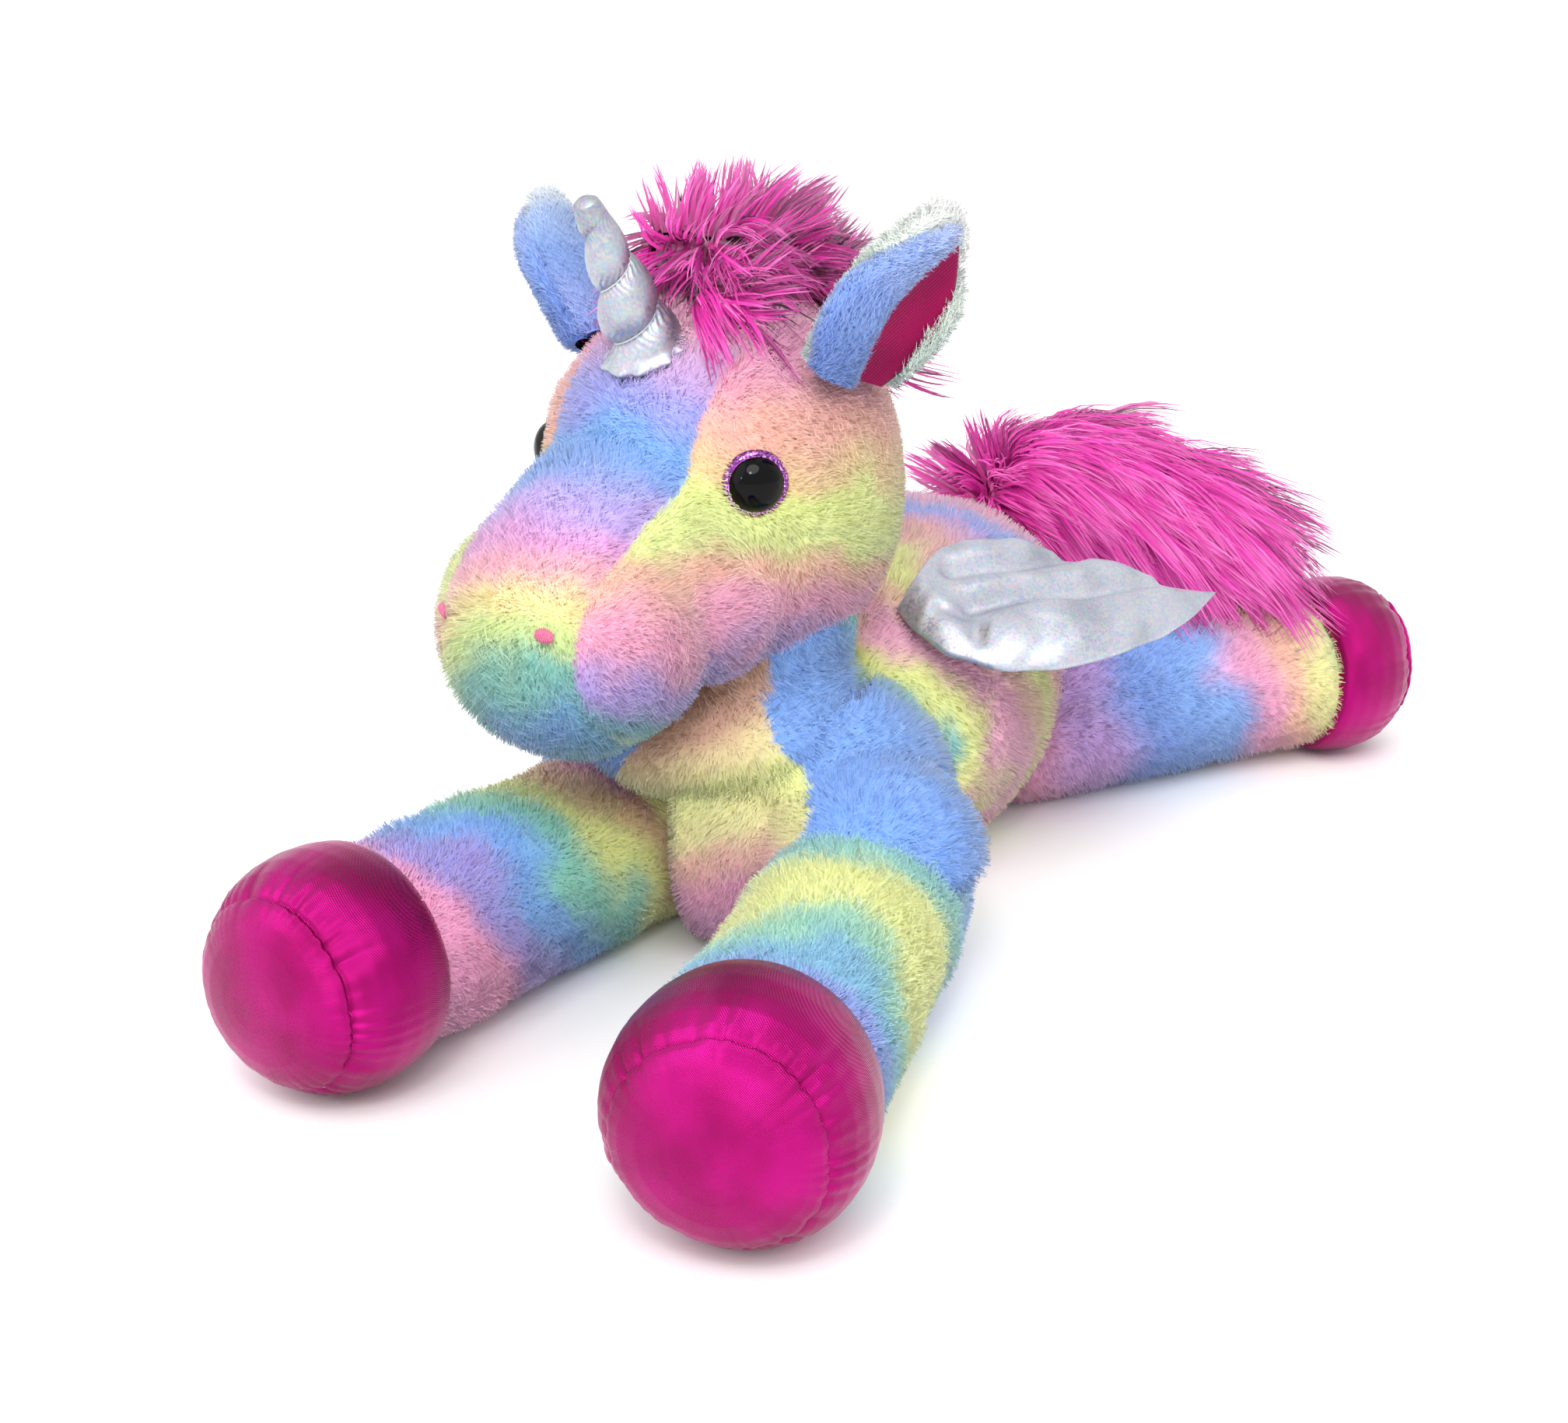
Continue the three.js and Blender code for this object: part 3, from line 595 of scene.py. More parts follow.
def turnedMesh(name, profile, centre, axis, sides=64):
    # a lathe body from (radius, height) pairs about an axis
    across = square(np.array([0.3, 0.5, 0.8]), axis)
    third = np.cross(axis, across)
    turn = np.linspace(0, 2 * np.pi, sides + 1)
    ring = np.cos(turn)[None, :, None] * across + np.sin(turn)[None, :, None] * third
    profile = np.array(profile)
    return gridMesh(name, [centre + ring * profile[:, :1, None] + axis * profile[:, 1:, None]])


eyeLook = plastic("eye_plastic", "#040305", 0.03)
glitterLook = glitter("eye_glitter")
washerLook = plastic("washer_plastic", "#d8d8d4", 0.35)
threadLook = fibre("winding_thread", "#c9ccd2", 900.0)
nostrilLook = fibre("nostril_thread", "#c81c70", 1200.0)
foilLook = foilCloth("silver_foil_cloth", "#8a9099", "#b6bac3")
# the wings' silver foil in a darker copy for the horn: painted shade
shadedHornLook = foilCloth("horn_foil_cloth_painted_shade", "#646972", "#a0a4ac")
hoofLook = satin("hoof_satin", "#8a0450", "#c00c80", 7000.0)
liningLook = satin("ear_satin", "#78003c", "#a00650", 5000.0)
pileLook = longPile("pink_long_pile")

# torso

torso = {
    "nodes": ["belly_panel", "chest_panel", "torso_left_panel", "torso_right_panel"],
    "bib": 0.016,  # half the bib's width at its top, under the chin
    "bibTop": 0.131,
    "bibSlope": 0.8,  # how fast the bib widens downwards
    "bibWidest": 0.050,
    "back": -0.1,  # the bib lies ahead of this
    "cap": (0.052, 0.054, 0.052),  # half sizes of the rounded shoulder over a front leg's ball
    "capFoot": 0.060,
    "sideHairs": 54000,
    "chestHairs": 24000,
    "comb": (0, 0.7, -0.7),
}
sideDyes = [
    (0.00, "#7fa9ee"), (0.21, "#86b0f0"), (0.27, "#8fd0d0"), (0.32, "#eef3a0"), (0.39, "#f4b3cf"),
    (0.45, "#f6d2b8"), (0.51, "#eef3a8"), (0.58, "#f7bcc0"), (0.65, "#d0b0ec"), (0.72, "#8fb4f2"),
    (0.81, "#f4b3cf"), (0.91, "#f8d8b8"), (1.00, "#eef3a0"),
]
bibDyes = [
    (0.00, "#d2a58e"), (0.22, "#dcb09a"), (0.38, "#ecdca8"), (0.50, "#eef3a6"), (0.62, "#f1eaaa"),
    (0.74, "#f4c0b4"), (0.86, "#f1a8c8"), (1.00, "#e8a6d2"),
]
sideCloth = (sideDyes, (0.0, 0.93, 0.36), -0.13, 0.25)
bibCloth = (bibDyes, (0.15, 0.0, -1.0), -0.165, -0.02)
sideDye = tieDyeWithPaintedShade("torso_plush", sideCloth)
bibDye = tieDyeWithPaintedShade("chest_plush", bibCloth)
shoulders = []
for side in hands:
    pivot = Vector(joints["front_" + side + "_leg_swing"]["pos_m"])
    shoulders.append((pivot + Vector((0, -0.008, 0.010)), torso["cap"], torso["capFoot"]))
torsoSkin = remeshed("torso_skin", torso["nodes"] + ["torso_fill"], 0.004, 12, 0.002, 0.0008, caps=shoulders)


def onBib(point):
    half = torso["bib"] + (torso["bibTop"] - point[:, 2]) * torso["bibSlope"]
    half = np.clip(half, torso["bib"], torso["bibWidest"])
    return (abs(point[:, 0]) < half) & (point[:, 1] < torso["back"])


torsoCover = tieDyeWithPaintedShade("torso_cover_plush", sideCloth, bibCloth)
skinPiece("torso_skin", torsoSkin, "torso", torsoCover, torso["nodes"] + ["torso_fill"], patch=onBib)
fur("torso_fur_left", torsoSkin, "torso", sideDye, torso["sideHairs"], torso["comb"],
    accept=lambda p: ~onBib(p) & (p[:, 0] > 0))
fur("torso_fur_right", torsoSkin, "torso", sideDye, torso["sideHairs"], torso["comb"],
    accept=lambda p: ~onBib(p) & (p[:, 0] <= 0))
fur("chest_fur", torsoSkin, "torso", bibDye, torso["chestHairs"], (0, 0.1, -1), accept=onBib)
print("torso done")


def outsideShoulders(point):
    # true where a leg's skin shows past the torso's rounded shoulders
    free = np.ones(len(point), bool)
    for centre, size, low in shoulders:
        inside = np.linalg.norm((point - np.array(centre)) / (np.array(size) - 0.002), axis=1) < 1
        free &= ~(inside & (point[:, 2] > low - 0.004))
    return free


# neck

neck = {
    "furTop": 0.19,
    "collar": (0.070, 0.066, 0.034),
    "bibHairs": 9000,
    "sideHairs": 26000,
    "comb": (0, 0.5, -1),
}
nod = np.array(joints["head_nod"]["pos_m"], float)
neckCloth = (bibDyes, (0.2, 0.3, -1.0), -0.2, -0.08)
neckDye = tieDyeWithPaintedShade("neck_plush", neckCloth)
collar = [(Vector((nod[0], nod[1] - 0.012, 0.108)), neck["collar"], 0.0)]
neckSkin = remeshed("neck_skin", ["neck_sleeve", "neck_fill"], 0.004, 8, 0.003, caps=collar)
neckCover = tieDyeWithPaintedShade("neck_cover_plush", sideCloth, neckCloth)
skinPiece("neck_skin", neckSkin, "neck", neckCover, ["neck_sleeve", "neck_fill"], patch=onBib)
fur("neck_bib_fur", neckSkin, "neck", neckDye, neck["bibHairs"], neck["comb"], accept=onBib)
fur("neck_fur", neckSkin, "neck", sideDye, neck["sideHairs"], neck["comb"],
    accept=lambda p: ~onBib(p) & (p[:, 2] < neck["furTop"]))
print("neck done")

# head, in a frame of its own whose x runs to the animal's left and y to the back of the head

turn = math.radians(-15)
headAxes = np.array([(math.cos(turn), math.sin(turn), 0), (-math.sin(turn), math.cos(turn), 0), (0, 0, 1)])
headFrame = (nod, headAxes)
head = {
    "nodes": ["head_middle_panel", "chin_panel", "left_cheek_panel", "right_cheek_panel"],
    "blaze": 0.037,  # half the width of the middle panel
    "blazeBack": 0.03,
    "seam": 0.003,
    "blazeHairs": 42000,
    "cheekHairs": 46000,
}
eye = {
    "radius": 0.0122,
    "height": 0.0092,
    "sink": -0.0008,
    "foot": (0.0119, -0.003),
    "clear": 0.0125,  # no hair grows nearer than this to an eye's axis
    "rim": [
        (0.0116, 0.0016), (0.0126, 0.0017), (0.0138, 0.0007), (0.0144, -0.0006), (0.0142, -0.0022),
        (0.0125, -0.003),
    ],
}
nostril = {"stitches": 4, "reach": 0.0036, "pitch": 0.00085, "thread": 0.00055, "rise": 0.0012}
blazeDyes = [
    (0.00, "#f2b4d0"), (0.10, "#d8b2e4"), (0.20, "#a6a8ee"), (0.31, "#7fb0f0"), (0.41, "#8cb2f2"),
    (0.50, "#c3aeec"), (0.60, "#e6a8dc"), (0.67, "#f4b4c4"), (0.75, "#f4e2a4"), (0.81, "#d8eaa0"),
    (0.88, "#86c4b8"), (1.00, "#79a8ee"),
]
cheekDyes = [
    (0.00, "#9fb0f0"), (0.10, "#d8aee0"), (0.20, "#f3a8cc"), (0.32, "#f8bcae"), (0.43, "#f6d6a4"),
    (0.51, "#e9f29c"), (0.60, "#e6efa2"), (0.68, "#f8c4b0"), (0.77, "#f2aac8"), (0.86, "#bda8ea"),
    (0.93, "#84bcd0"), (1.00, "#e6efa2"),
]
blazeCloth = (blazeDyes, (0.12, -0.55, -0.83), -0.085, 0.1, 0.07)
cheekCloth = (cheekDyes, (0.15, -0.1, -0.98), -0.155, 0.045)
blazeDye = tieDyeWithPaintedShade("blaze_plush", blazeCloth)
cheekDye = tieDyeWithPaintedShade("cheek_plush", cheekCloth)


def offSeam(point):
    return abs(abs(inFrame(point, *headFrame)[:, 0]) - head["blaze"])


def headGroove(point):
    forward = inFrame(point, *headFrame)[:, 1] < 0.02
    return 0.0022 * bell(offSeam(point), head["seam"]) * forward


headSkin = remeshed("head_skin", head["nodes"] + ["head_fill"], 0.0035, 12, 0.002, 0.0006, headGroove)

eyes = {}
for side in hands:
    ring = middle(side + "_eye_glitter_ring")
    eyes[side] = (ring, unit(ring - middle(side + "_eye_lock_washer")))
nostrils = {side: discOf(side + "_nostril_stitching", nod) for side in hands}


def clearOfFace(point):
    free = np.ones(len(point), bool)
    for centre, axis in eyes.values():
        gap = point - centre
        free &= np.linalg.norm(gap - (gap @ axis)[:, None] * axis, axis=1) > eye["clear"]
        free |= gap @ axis < -0.03
    return free


def inBlaze(point):
    at = inFrame(point, *headFrame)
    return (abs(at[:, 0]) < head["blaze"]) & (at[:, 1] < head["blazeBack"])


def onBlaze(point):
    return inBlaze(point) & clearOfFace(point)


def onCheek(point):
    return ~inBlaze(point) & clearOfFace(point)


headCover = tieDyeWithPaintedShade("head_cover_plush", cheekCloth, blazeCloth)
skinPiece("head_skin", headSkin, "head", headCover, head["nodes"] + ["head_fill"], dyeFrame=headFrame,
          patch=onBlaze)


def headTrim(point):
    # the pile is clipped short along the seams and round the nostrils and eyes
    short = 1 - 0.35 * bell(offSeam(point), 0.0025)
    for centre, axis in nostrils.values():
        short = short * (1 - 0.75 * bell(np.linalg.norm(point - centre, axis=1), 0.006))
    for centre, axis in eyes.values():
        short = short * (1 - 0.35 * bell(np.linalg.norm(point - centre, axis=1), 0.016))
    return short


# the pile runs back from the nose, and down over the cheeks
headComb = np.array([0, 0.9, 0]) @ headAxes + np.array([0, 0, -0.45])
fur("blaze_fur", headSkin, "head", blazeDye, head["blazeHairs"], headComb, accept=onBlaze, trim=headTrim,
    dyeFrame=headFrame)
for side, hand in hands.items():
    fur(side + "_cheek_fur", headSkin, "head", cheekDye, head["cheekHairs"], headComb, trim=headTrim,
        dyeFrame=headFrame, accept=lambda p: onCheek(p) & (inFrame(p, *headFrame)[:, 0] * hand > 0))

for side in hands:
    centre, axis = eyes[side]
    curve = [
        (eye["radius"] * math.sin(a), eye["height"] * math.cos(a) + eye["sink"])
        for a in np.linspace(0, math.pi / 2, 20)
    ]
    curve = [*curve[:-1], (eye["radius"], eye["sink"]), eye["foot"]]
    dome = turnedMesh(side + "_eye", curve, centre, axis)
    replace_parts(newObject(side + "_eye", dome, "head", eyeLook), side + "_eye_dome")
    band = turnedMesh(side + "_eye_ring", eye["rim"], centre, axis)
    made = newObject(side + "_eye_ring", band, "head", glitterLook)
    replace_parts(made, side + "_eye_glitter_ring")

for side in hands:
    # nostrils: a small pad of satin stitches laid side by side
    centre, axis = nostrils[side]
    over = square(np.array([0.2, 0.1, 1.0]), axis)
    wide = np.cross(axis, over)
    threads = []
    for k in range(-nostril["stitches"], nostril["stitches"] + 1):
        reach = nostril["reach"] * math.sqrt(1 - (k / (nostril["stitches"] + 1)) ** 2)
        along = np.linspace(-1, 1, 9)
        turns = np.linspace(0, 2 * np.pi, 9)
        tube = nostril["thread"] * np.sqrt(np.maximum(1 - along ** 4, 0.0))
        height = nostril["rise"] + nostril["rise"] * (1 - along ** 2)
        line = centre + axis * height[:, None] + over * (along * reach)[:, None]
        line = line + wide * k * nostril["pitch"]
        around = np.cos(turns)[None, :, None] * wide + np.sin(turns)[None, :, None] * axis
        threads.append(line[:, None] + around * tube[:, None, None])
    pad = gridMesh(side + "_nostril", threads)
    made = newObject(side + "_nostril", pad, "head", nostrilLook)
    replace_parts(made, side + "_nostril_stitching")
print("head done")

# ears: a furry back, a satin lining and a front edge folded over it

ear = {
    "length": 0.080,
    "half": 0.027,
    "thick": 0.0042,  # half the back's thickness
    "foldThick": 0.0034,
    "liningThick": 0.0007,
    "backHairs": 14000,
    "backPile": 0.0105,
    "foldHairs": 11000,
    "foldPile": 0.008,
}
backDyes = {
    "left": [(0.0, "#cfe2e0"), (0.3, "#dcefe4"), (0.6, "#e8f4ea"), (0.8, "#f0f4f0"), (1.0, "#f8f6f4")],
    "right": [(0.0, "#9ab0f2"), (0.35, "#8cb0f2"), (0.65, "#a8c4f4"), (0.85, "#e4ecf4"), (1.0, "#f6f4f0")],
}
foldDyes = [(0.0, "#6f92dc"), (0.4, "#86a8f0"), (0.75, "#9db8f4"), (0.9, "#b8c8f6"), (1.0, "#e8ecfa")]
foldDye = tieDyeWithPaintedShade("ear_fold_plush", (foldDyes, (0.0, 0.0, 1.0), 0.0, 0.085, 0.08))


def earWidth(v):
    # half the width at a share v of the length: broad low down, closing to the tip
    return ear["half"] * (0.62 + 0.55 * np.sin(np.pi * np.minimum(v * 0.95 + 0.1, 1.0))) * (1 - v ** 4) ** 0.6


for side in hands:
    body = side + "_ear"
    foot = np.array(joints[side + "_ear_fold"]["pos_m"], float)
    top = corners(body + "_plush")
    top = top[np.argmax(np.linalg.norm(top - foot, axis=1))]
    up = unit(top - foot)
    face = square(middle(body + "_lining") - middle(body + "_plush"), up)
    back = np.cross(up, face)
    back = back * np.sign(back @ headAxes[1])
    axes = np.array([back, face, up])
    backDye = tieDyeWithPaintedShade(body + "_back_plush", (backDyes[side], (0.35, 0.0, 1.0), 0.0, 0.085, 0.08))
    v = np.linspace(0, 1, 40)[:, None]
    u = np.linspace(-1, 1, 30)[None, :]
    width = earWidth(v)

    def earSheet(low, high, lift, tall=1.0, slant=0.0):
        # a sheet between two shares of the ear's half width, lifted towards its opening
        across = width * (low + (high - slant * v - low) * (u + 1) / 2)
        rise = np.broadcast_to(v * ear["length"] * tall, across.shape)
        return outFrame(np.stack([across, lift(across / ear["half"]) + 0 * rise, rise], -1), foot, axes)

    rim = np.sqrt(np.clip(1 - np.abs(u) ** 3, 0, 1)) * np.sqrt(np.clip(1 - v ** 6, 0, 1)) + 0 * v
    backMesh = pillow(body + "_back", earSheet(-1.0, 1.0, lambda s: 0.006 * s * s), ear["thick"] * rim)
    skinPiece(body + "_back", backMesh, body, backDye, [body + "_plush"], dyeFrame=(foot, axes))
    foldSheet = earSheet(-1.04, -0.28, lambda s: 0.0070 + 0.004 * np.sin((s + 1) * 2), 0.97, 0.3)
    foldMesh = pillow(body + "_fold", foldSheet, ear["foldThick"] * rim)
    skinPiece(body + "_fold", foldMesh, body, foldDye, [], dyeFrame=(foot, axes))
    liningSheet = earSheet(-0.8, 0.80, lambda s: 0.0076 + 0.004 * s * s, 0.985)
    liningMesh = pillow(body + "_lining_cloth", liningSheet, ear["liningThick"] * rim)
    made = newObject(body + "_lining_cloth", liningMesh, body, liningLook)
    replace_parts(made, body + "_lining")
    fur(body + "_back_fur", backMesh, body, backDye, ear["backHairs"], up, ear["backPile"],
        dyeFrame=(foot, axes),
        accept=lambda p: (inFrame(p, foot, axes)[:, 1] < 0.0035) | (inFrame(p, foot, axes)[:, 0] > 0.0205))
    fur(body + "_fold_fur", foldMesh, body, foldDye, ear["foldHairs"], up * 0.8 + back * 0.5,
        ear["foldPile"], dyeFrame=(foot, axes))
print("ears done")

# horn: foil cloth stuffed and wound into a spiral of puffs, with a gathered foot

horn = {
    "length": 0.074,
    "lean": 26,
    "turns": 3.1,
    "foot": 0.0165,
    "tip": 0.0042,
    "wound": 0.78,  # the share of its length that the thread winds round
    "bend": -0.004,
    "thread": 0.0005,
}
hornLean = math.radians(horn["lean"])
hornAxis = np.array([0, -math.sin(hornLean), math.cos(hornLean)]) @ headAxes
hornTop = corners("horn_cover")
hornTop = hornTop[np.argmax(hornTop @ hornAxis)]
hornFoot = hornTop - hornAxis * horn["length"]
hornSide = square(headAxes[0], hornAxis)
t = np.linspace(0, 1, 150)[:, None]
angle = np.linspace(0, 2 * np.pi, 97)[None, :]
cone = horn["tip"] + (horn["foot"] - horn["tip"]) * (1 - t) ** 0.85
spiral = np.abs(np.sin(np.pi * (t * horn["turns"] - angle / (2 * np.pi) + 0.25))) ** 0.6
wound = 1 - (t > horn["wound"]) * np.minimum((t - horn["wound"]) * 8, 1.0)
ripple = np.sin(angle * 23 + 4 * np.sin(t * 40)) * (1 - spiral) * 0.0007 * wound
radius = cone * (1.10 - 0.42 * wound * (1 - spiral)) + ripple
radius = radius * np.sqrt(np.clip((1 - t) / 0.035, 0, 1))
flare = bell(t - 0.03, 0.03) * (0.0030 + 0.0008 * np.sin(angle * 11) + 0.0005 * np.sin(angle * 17 + 1))
radius = radius + flare
ring = np.cos(angle)[..., None] * hornSide + np.sin(angle)[..., None] * np.cross(hornAxis, hornSide)
hornLine = hornFoot + hornAxis * (t * horn["length"])[..., None]
hornLine = hornLine + hornSide * (horn["bend"] * t ** 2)[..., None]
hornMesh = gridMesh("horn", [hornLine + ring * radius[..., None]])
hornPiece = newObject("horn", hornMesh, "head", shadedHornLook)
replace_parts(hornPiece, "horn_cover", "horn_fill")
groove = np.linspace(0.05, 0.97, 220) * horn["wound"]
lap = (groove * horn["turns"] + 0.25) * 2 * np.pi
core = horn["tip"] + (horn["foot"] - horn["tip"]) * (1 - groove) ** 0.85
path = hornFoot + hornAxis * (groove * horn["length"])[:, None]
path = path + hornSide * (horn["bend"] * groove ** 2)[:, None]
aim = np.cos(lap)[:, None] * hornSide + np.sin(lap)[:, None] * np.cross(hornAxis, hornSide)
path = path + aim * (core * 0.76)[:, None]
small = np.linspace(0, 2 * np.pi, 7)
threadRing = np.cos(small)[None, :, None] * aim[:, None] + np.sin(small)[None, :, None] * hornAxis
threadMesh = gridMesh("horn_winding", [path[:, None] + threadRing * horn["thread"]])
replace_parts(newObject("horn_winding", threadMesh, "head", threadLook), "horn_thread")
print("horn done")

# mane

mane = {"length": 0.029, "count": 10000, "width": 0.0016, "tufted": 26, "sag": 0.12}
maneCore = remeshed("mane_core", ["mane_long_pile"], 0.005, 10, 0.016)
skinPiece("mane_core", maneCore, "head", pileLook, ["mane_long_pile"])


def maneFlow(point, out):
    at = inFrame(point, *headFrame)
    # the front pile falls over the tuft's foot, the rest stands up and spreads sideways
    low = np.clip((0.35 - out[:, 2]) / 0.5, 0, 1) * (at[:, 1] < 0.01)
    rise = 0.55 - np.abs(at[:, 0]) * 12 - 0.85 * low
    aside = np.clip(at[:, 0] / 0.02, -0.7, 1.0) * np.clip((at[:, 2] - 0.11) / 0.04, 0.15, 1)
    fall = np.stack([aside, 0.35 - 0.5 * low, rise], 1)
    return unit(fall @ headAxes + out * 0.5)


longFur("mane", maneCore, "head", pileLook, maneFlow, mane)
print("mane done")

# tail

tail = {
    "length": 0.054,
    "count": 15000,
    "width": 0.0019,
    "tufted": 26,
    "sag": 0.38,
    "line": [(0, 0, 0), (0.022, 0.024, 0.016), (0.08, 0.042, 0.002), (0.146, 0.056, -0.018)],
}
tailStart = np.array(joints["tail_swing"]["pos_m"], float)
tailLine = tailStart + np.array(tail["line"])
tailCore = remeshed("tail_core", ["tail_long_pile", "tail_fill"], 0.005, 10, 0.012)
skinPiece("tail_core", tailCore, "tail", pileLook, ["tail_long_pile", "tail_fill"])


def tailFlow(point, out):
    ahead = np.gradient(tailLine, axis=0)
    near = nearest(point, tailLine)
    along = unit(ahead)[near]
    early = np.clip(1 - np.linalg.norm(point - tailStart, axis=1) / 0.05, 0, 1)[:, None]
    fall = np.array([0, 0, -0.25])
    return unit(along * (1 - early) * 1.1 + out * (0.45 + early * 0.6) + fall * (1 - early))


longFur("tail", tailCore, "tail", pileLook, tailFlow, tail)
print("tail done")

# legs and hooves

legs = {
    "front_left": {
        "tilt": (0.9, 0.35, 0.25),
        "dyes": [
            (0.0, "#7fa9ee"), (0.24, "#8fbcec"), (0.38, "#9ad6cc"), (0.50, "#eef3a0"), (0.66, "#e9f0a0"),
            (0.78, "#a4dcc6"), (0.88, "#86c0e0"), (1.0, "#96a4ec"),
        ],
    },
    "front_right": {
        "tilt": (0.82, 0.0, -0.75),
        "dyes": [
            (0.0, "#c79ad6"), (0.12, "#ee9fc4"), (0.22, "#f4d4a8"), (0.32, "#eef3a0"), (0.43, "#8fd0c0"),
            (0.52, "#7fb0ee"), (0.62, "#a79ae0"), (0.73, "#f0a2ca"), (0.92, "#eea6cf"), (1.0, "#c3a8ea"),
        ],
    },
    "hind_left": {
        "tilt": (0.95, 0.0, 0.2),
        "dyes": [
            (0.0, "#f2a9c8"), (0.2, "#cfa8e6"), (0.38, "#86a8ee"), (0.55, "#8cb4f2"), (0.68, "#f2a9cc"),
            (0.80, "#f8c4b0"), (0.9, "#f0eca6"), (1.0, "#cfe8b0"),
        ],
    },
    "hind_right": {
        "tilt": (0.95, 0.0, 0.2),
        "dyes": [
            (0.0, "#eef3a0"), (0.2, "#f6c8b0"), (0.38, "#f0a4cc"), (0.55, "#c3a8ea"), (0.7, "#86a8ee"),
            (0.84, "#90d0c8"), (1.0, "#eef3a0"),
        ],
    },
}
legHairs = 34000
hoof = {
    "profile": [  # (along the leg, radius)
        (0.000, 0.0462), (0.004, 0.0488), (0.012, 0.0505), (0.022, 0.0512), (0.032, 0.0502), (0.040, 0.0478),
        (0.046, 0.0445), (0.0485, 0.0424), (0.0498, 0.0413), (0.0512, 0.0408), (0.0535, 0.0390),
        (0.057, 0.0345), (0.0605, 0.0270), (0.0628, 0.0180), (0.0640, 0.0090), (0.0644, 0.0),
    ],
    "seam": 0.0498,
    "sides": 240,
    "sidePucker": (0.0058, 0.013),  # (depth, reach) of the puckers up the side
    "solePucker": (0.0030, 0.0050),
    "stitch": (0.0012, 0.0009),  # (depth, width) of the seam's groove
}


def hoofMesh(name, start, axes, seed):
    # a stuffed satin cup: its side drawn in puckers to the seam round a domed sole
    profile = np.array(hoof["profile"])
    stretches = [(0, 0.040, 22), (0.0405, 0.0535, 34), (0.0545, 0.0644, 14)]
    along = np.concatenate([np.linspace(*stretch) for stretch in stretches])
    plain = np.interp(along, profile[:, 0], profile[:, 1])
    turn = np.linspace(0, 2 * np.pi, hoof["sides"] + 1)[None, :]
    own = np.random.default_rng(seed)
    phase = own.uniform(0, 6.28, 6)
    pucker = np.abs(np.sin(turn * 11 + 2.6 * np.sin(turn * 3 + phase[0]) + phase[1])) ** 0.7
    pucker = pucker * 0.65 + 0.35 * np.abs(np.sin(turn * 19 + 2.0 * np.sin(turn * 5 + phase[2]) + phase[3]))
    uneven = 0.65 + 0.35 * np.sin(turn * 2 + phase[4]) * np.sin(turn * 5 + phase[5])
    gap = (along - hoof["seam"])[:, None]
    (sideDepth, sideReach), (soleDepth, soleReach) = hoof["sidePucker"], hoof["solePucker"]
    reach = np.where(gap < 0, sideReach * uneven, soleReach)
    depth = np.where(gap < 0, sideDepth, soleDepth) * np.exp(-np.abs(gap) / reach)
    radius = plain[:, None] - depth * (1 - pucker) * uneven
    radius = radius - hoof["stitch"][0] * bell(gap, hoof["stitch"][1])
    radius = radius + 0.0006 * np.sin(turn * 3 + phase[0]) * np.minimum(plain[:, None] / 0.04, 1)
    radius = np.maximum(radius, 0) * (plain[:, None] > 0)
    across, rise = axes[1], axes[2]
    ring = np.cos(turn)[..., None] * across + np.sin(turn)[..., None] * rise
    points = start + axes[0] * along[:, None, None] + ring * radius[..., None]
    points[..., 2] = np.maximum(points[..., 2], 0.0004)
    inner = start + ring * 0.038
    inner[..., 2] = np.maximum(inner[..., 2], 0.0004)
    return gridMesh(name, [np.concatenate([inner, points])])


for number, (leg, facts) in enumerate(legs.items()):
    body = leg + "_leg"
    pivot = np.array(joints[body + "_swing"]["pos_m"], float)
    toe = middle(leg + "_hoof_sole") - pivot
    ahead = square(toe, np.array([0.0, 0.0, 1.0]))
    axes = np.array([ahead, np.cross([0, 0, 1.0], ahead), [0, 0, 1.0]])
    dye = tieDyeWithPaintedShade(body + "_plush", (facts["dyes"], facts["tilt"], -0.02, 0.2))
    skin = remeshed(body + "_skin", [body + "_sleeve", body + "_fill"], 0.004, 8, 0.002, 0.0012)
    skinPiece(body + "_skin", skin, body, dye, [body + "_sleeve", body + "_fill"], dyeFrame=(pivot, axes))
    sole = inFrame(corners(leg + "_hoof_sole"), pivot, axes)[:, 0].max()
    start = sole - hoof["profile"][-1][0]
    fur(body + "_fur", skin, body, dye, legHairs, ahead + np.array([0, 0, -0.25]), dyeFrame=(pivot, axes),
        accept=lambda p: (inFrame(p, pivot, axes)[:, 0] < start + 0.002) & outsideShoulders(p))
    height = inFrame(middle(leg + "_hoof_band"), pivot, axes)
    hoofStart = outFrame(np.array([start, height[1], height[2]]), pivot, axes)
    mesh = hoofMesh(leg + "_hoof", hoofStart, axes, number)
    made = newObject(leg + "_hoof", mesh, body, hoofLook)
    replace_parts(made, leg + "_hoof_band", leg + "_hoof_sole")
print("legs done")

# wings: quilted foil cloth in three feathers

wing = {  # millimetres on the wing's own plane, but the pad, which is in metres
    "lead": [(-8, -28), (6, -38), (26, -44), (52, -40), (76, -24), (96, 4), (108, 34), (115, 64), (117, 92)],
    "trail": [(-8, 30), (2, 47), (18, 62), (36, 68), (44, 63), (62, 78), (84, 83), (92, 77), (117, 92)],
    "channels": [[(44, 62), (26, 30), (6, 6)], [(92, 76), (66, 38), (24, -12)]],
    "pinch": [(14, -24), (30, -20), (38, -34)],
    "pad": 0.0105,  # half the thickness where it is fullest
}


def alongPath(points, count):
    # a smooth line through some points, at even steps of its number
    points = np.array(points, float)
    knots = np.linspace(0, 1, len(points))
    spots = np.linspace(0, 1, count)
    line = np.stack([np.interp(spots, knots, points[:, k]) for k in range(points.shape[1])], 1)
    for _ in range(6):
        line[1:-1] = (line[:-2] + line[1:-1] * 2 + line[2:]) / 4
    return line


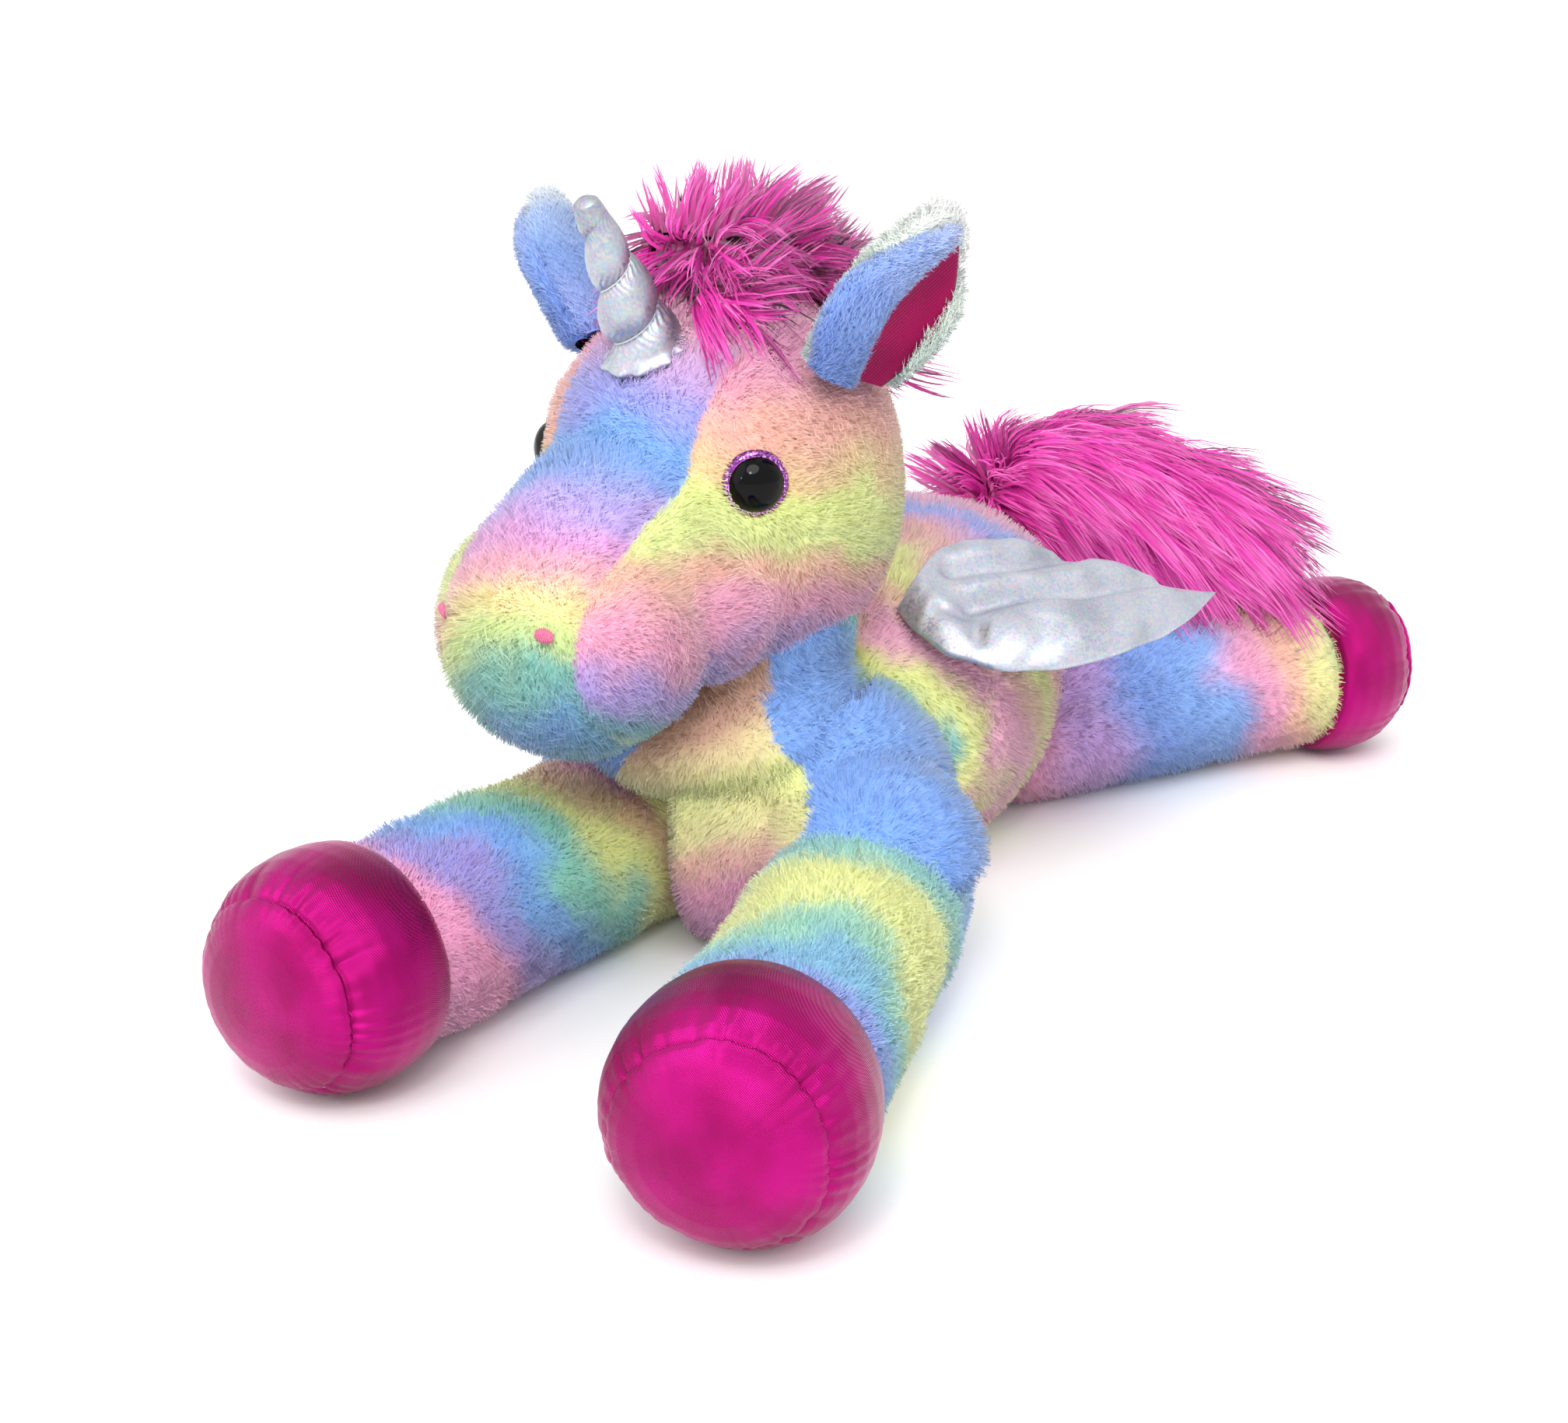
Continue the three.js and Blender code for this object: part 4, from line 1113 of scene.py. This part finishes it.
def offLine(points, line):
    # the distance of points on a plane to a broken line
    best = np.full(points.shape[:-1], 1e3)
    for a, b in zip(np.array(line[:-1], float), np.array(line[1:], float)):
        share = np.clip(((points - a) @ (b - a)) / ((b - a) @ (b - a)), 0, 1)
        best = np.minimum(best, np.linalg.norm(points - a - share[..., None] * (b - a), axis=-1))
    return best


for side, hand in hands.items():
    body = side + "_wing"
    hinge = joints[body + "_flap"]
    root = np.array(hinge["pos_m"], float)
    at = np.concatenate([corners(body + "_top_foil"), corners(body + "_bottom_foil")])
    axes = np.linalg.eigh((at - at.mean(0)).T @ (at - at.mean(0)))[1]
    over = axes[:, 0] * np.sign(axes[2, 0])
    back = square(np.array(hinge["axis"], float), over)
    back = back * np.sign(back[1])
    out = np.cross(back, over) * hand
    lead, trail = alongPath(wing["lead"], 120), alongPath(wing["trail"], 120)
    v = np.linspace(0, 1, 60)
    flat = lead[:, None] * (1 - v)[None, :, None] + trail[:, None] * v[None, :, None]
    wide = np.linalg.norm(lead - trail, axis=1)[:, None]
    rim = np.minimum(v, 1 - v)[None, :] * wide
    swell = (1 - np.exp(-rim / 9.0)) * np.minimum(1, wide / 40.0) ** 0.5
    for line in wing["channels"]:
        swell = swell * (1 - 0.93 * bell(offLine(flat, line), 8.0))
    pinch = bell(offLine(flat, wing["pinch"]), 4.0)
    swell = swell * (1 - 0.25 * pinch)
    crumple = waves(flat, 0.09, 21) * 0.07 + waves(flat, 0.3, 22) * 0.012
    ripples = 0.5 + 0.5 * np.sin(flat[..., 0] * 0.5 + 2 * np.sin(flat[..., 0] * 0.13))
    fringe = ripples * np.exp(-rim / 7.0)
    swell = swell * (1 + crumple) * (1 - 0.22 * fringe)
    swell[0] = 0
    # the leading edge and the tip droop a little
    drop = -0.008 * np.clip((8 - flat[..., 1]) / 50, 0, 1) ** 1.5
    drop = drop - 0.004 * np.clip(flat[..., 0] / 117, 0, 1) ** 2
    drop = drop + 0.0008 * waves(flat, 0.09, 23)
    sheet = root + out * (flat[..., 0] / 1000)[..., None] + back * (flat[..., 1] / 1000)[..., None]
    sheet = sheet + over * drop[..., None]
    mesh = pillow(body + "_cloth", sheet, wing["pad"] * swell)
    made = newObject(body + "_cloth", mesh, body, foilLook)
    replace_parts(made, body + "_top_foil", body + "_bottom_foil", body + "_batting")
print("wings done")

for side in hands:
    node = nodes[side + "_eye_lock_washer"]
    node.data.materials.clear()
    node.data.materials.append(washerLook)

# floor and light

floorMesh = bpy.data.meshes.new("floor")
floorMesh.from_pydata([(-80, -80, 0), (80, -80, 0), (80, 80, 0), (-80, 80, 0)], [], [(0, 1, 2, 3)])
floorLook = material("floor", lambda start: surface(start, Base_Color=hexed("#f6f6f6"), Roughness=0.9))
floorMesh.materials.append(floorLook)
floorPiece = bpy.data.objects.new("floor", floorMesh)
floorPiece.location.z = -0.0005
scene.collection.objects.link(floorPiece)

world = bpy.data.worlds.new("studio")
world.use_nodes = True
world.node_tree.nodes["Background"].inputs[0].default_value = (1.0, 1.0, 1.0, 1.0)
world.node_tree.nodes["Background"].inputs[1].default_value = 1.0
scene.world = world
lights = [
    {"name": "key", "aim": (-0.35, 0.75, -1.1), "soft": 40, "power": 1.7},
    {"name": "fill", "aim": (1.0, 0.8, -0.7), "soft": 70, "power": 0.7},
]
for light in lights:
    lamp = bpy.data.lights.new(light["name"], "SUN")
    lamp.energy = light["power"]
    lamp.angle = math.radians(light["soft"])
    lampPiece = bpy.data.objects.new(light["name"], lamp)
    lampPiece.rotation_euler = Vector(light["aim"]).to_track_quat("-Z", "Y").to_euler()
    scene.collection.objects.link(lampPiece)
aimedAt = Vector((0, -0.1, 0.2))
windows = [  # two small soft sources, for the glints in the eyes and on the foil
    {"name": "window", "place": (0.30, -1.05, 0.95), "size": 0.14, "power": 1.6},
    {"name": "lamp", "place": (-0.25, -1.15, 0.60), "size": 0.06, "power": 0.4},
]
for light in windows:
    lamp = bpy.data.lights.new(light["name"], "AREA")
    lamp.size = light["size"]
    lamp.energy = light["power"]
    lampPiece = bpy.data.objects.new(light["name"], lamp)
    lampPiece.location = light["place"]
    lampPiece.rotation_euler = (aimedAt - lampPiece.location).to_track_quat("-Z", "Y").to_euler()
    scene.collection.objects.link(lampPiece)
scene.view_settings.view_transform = "Standard"
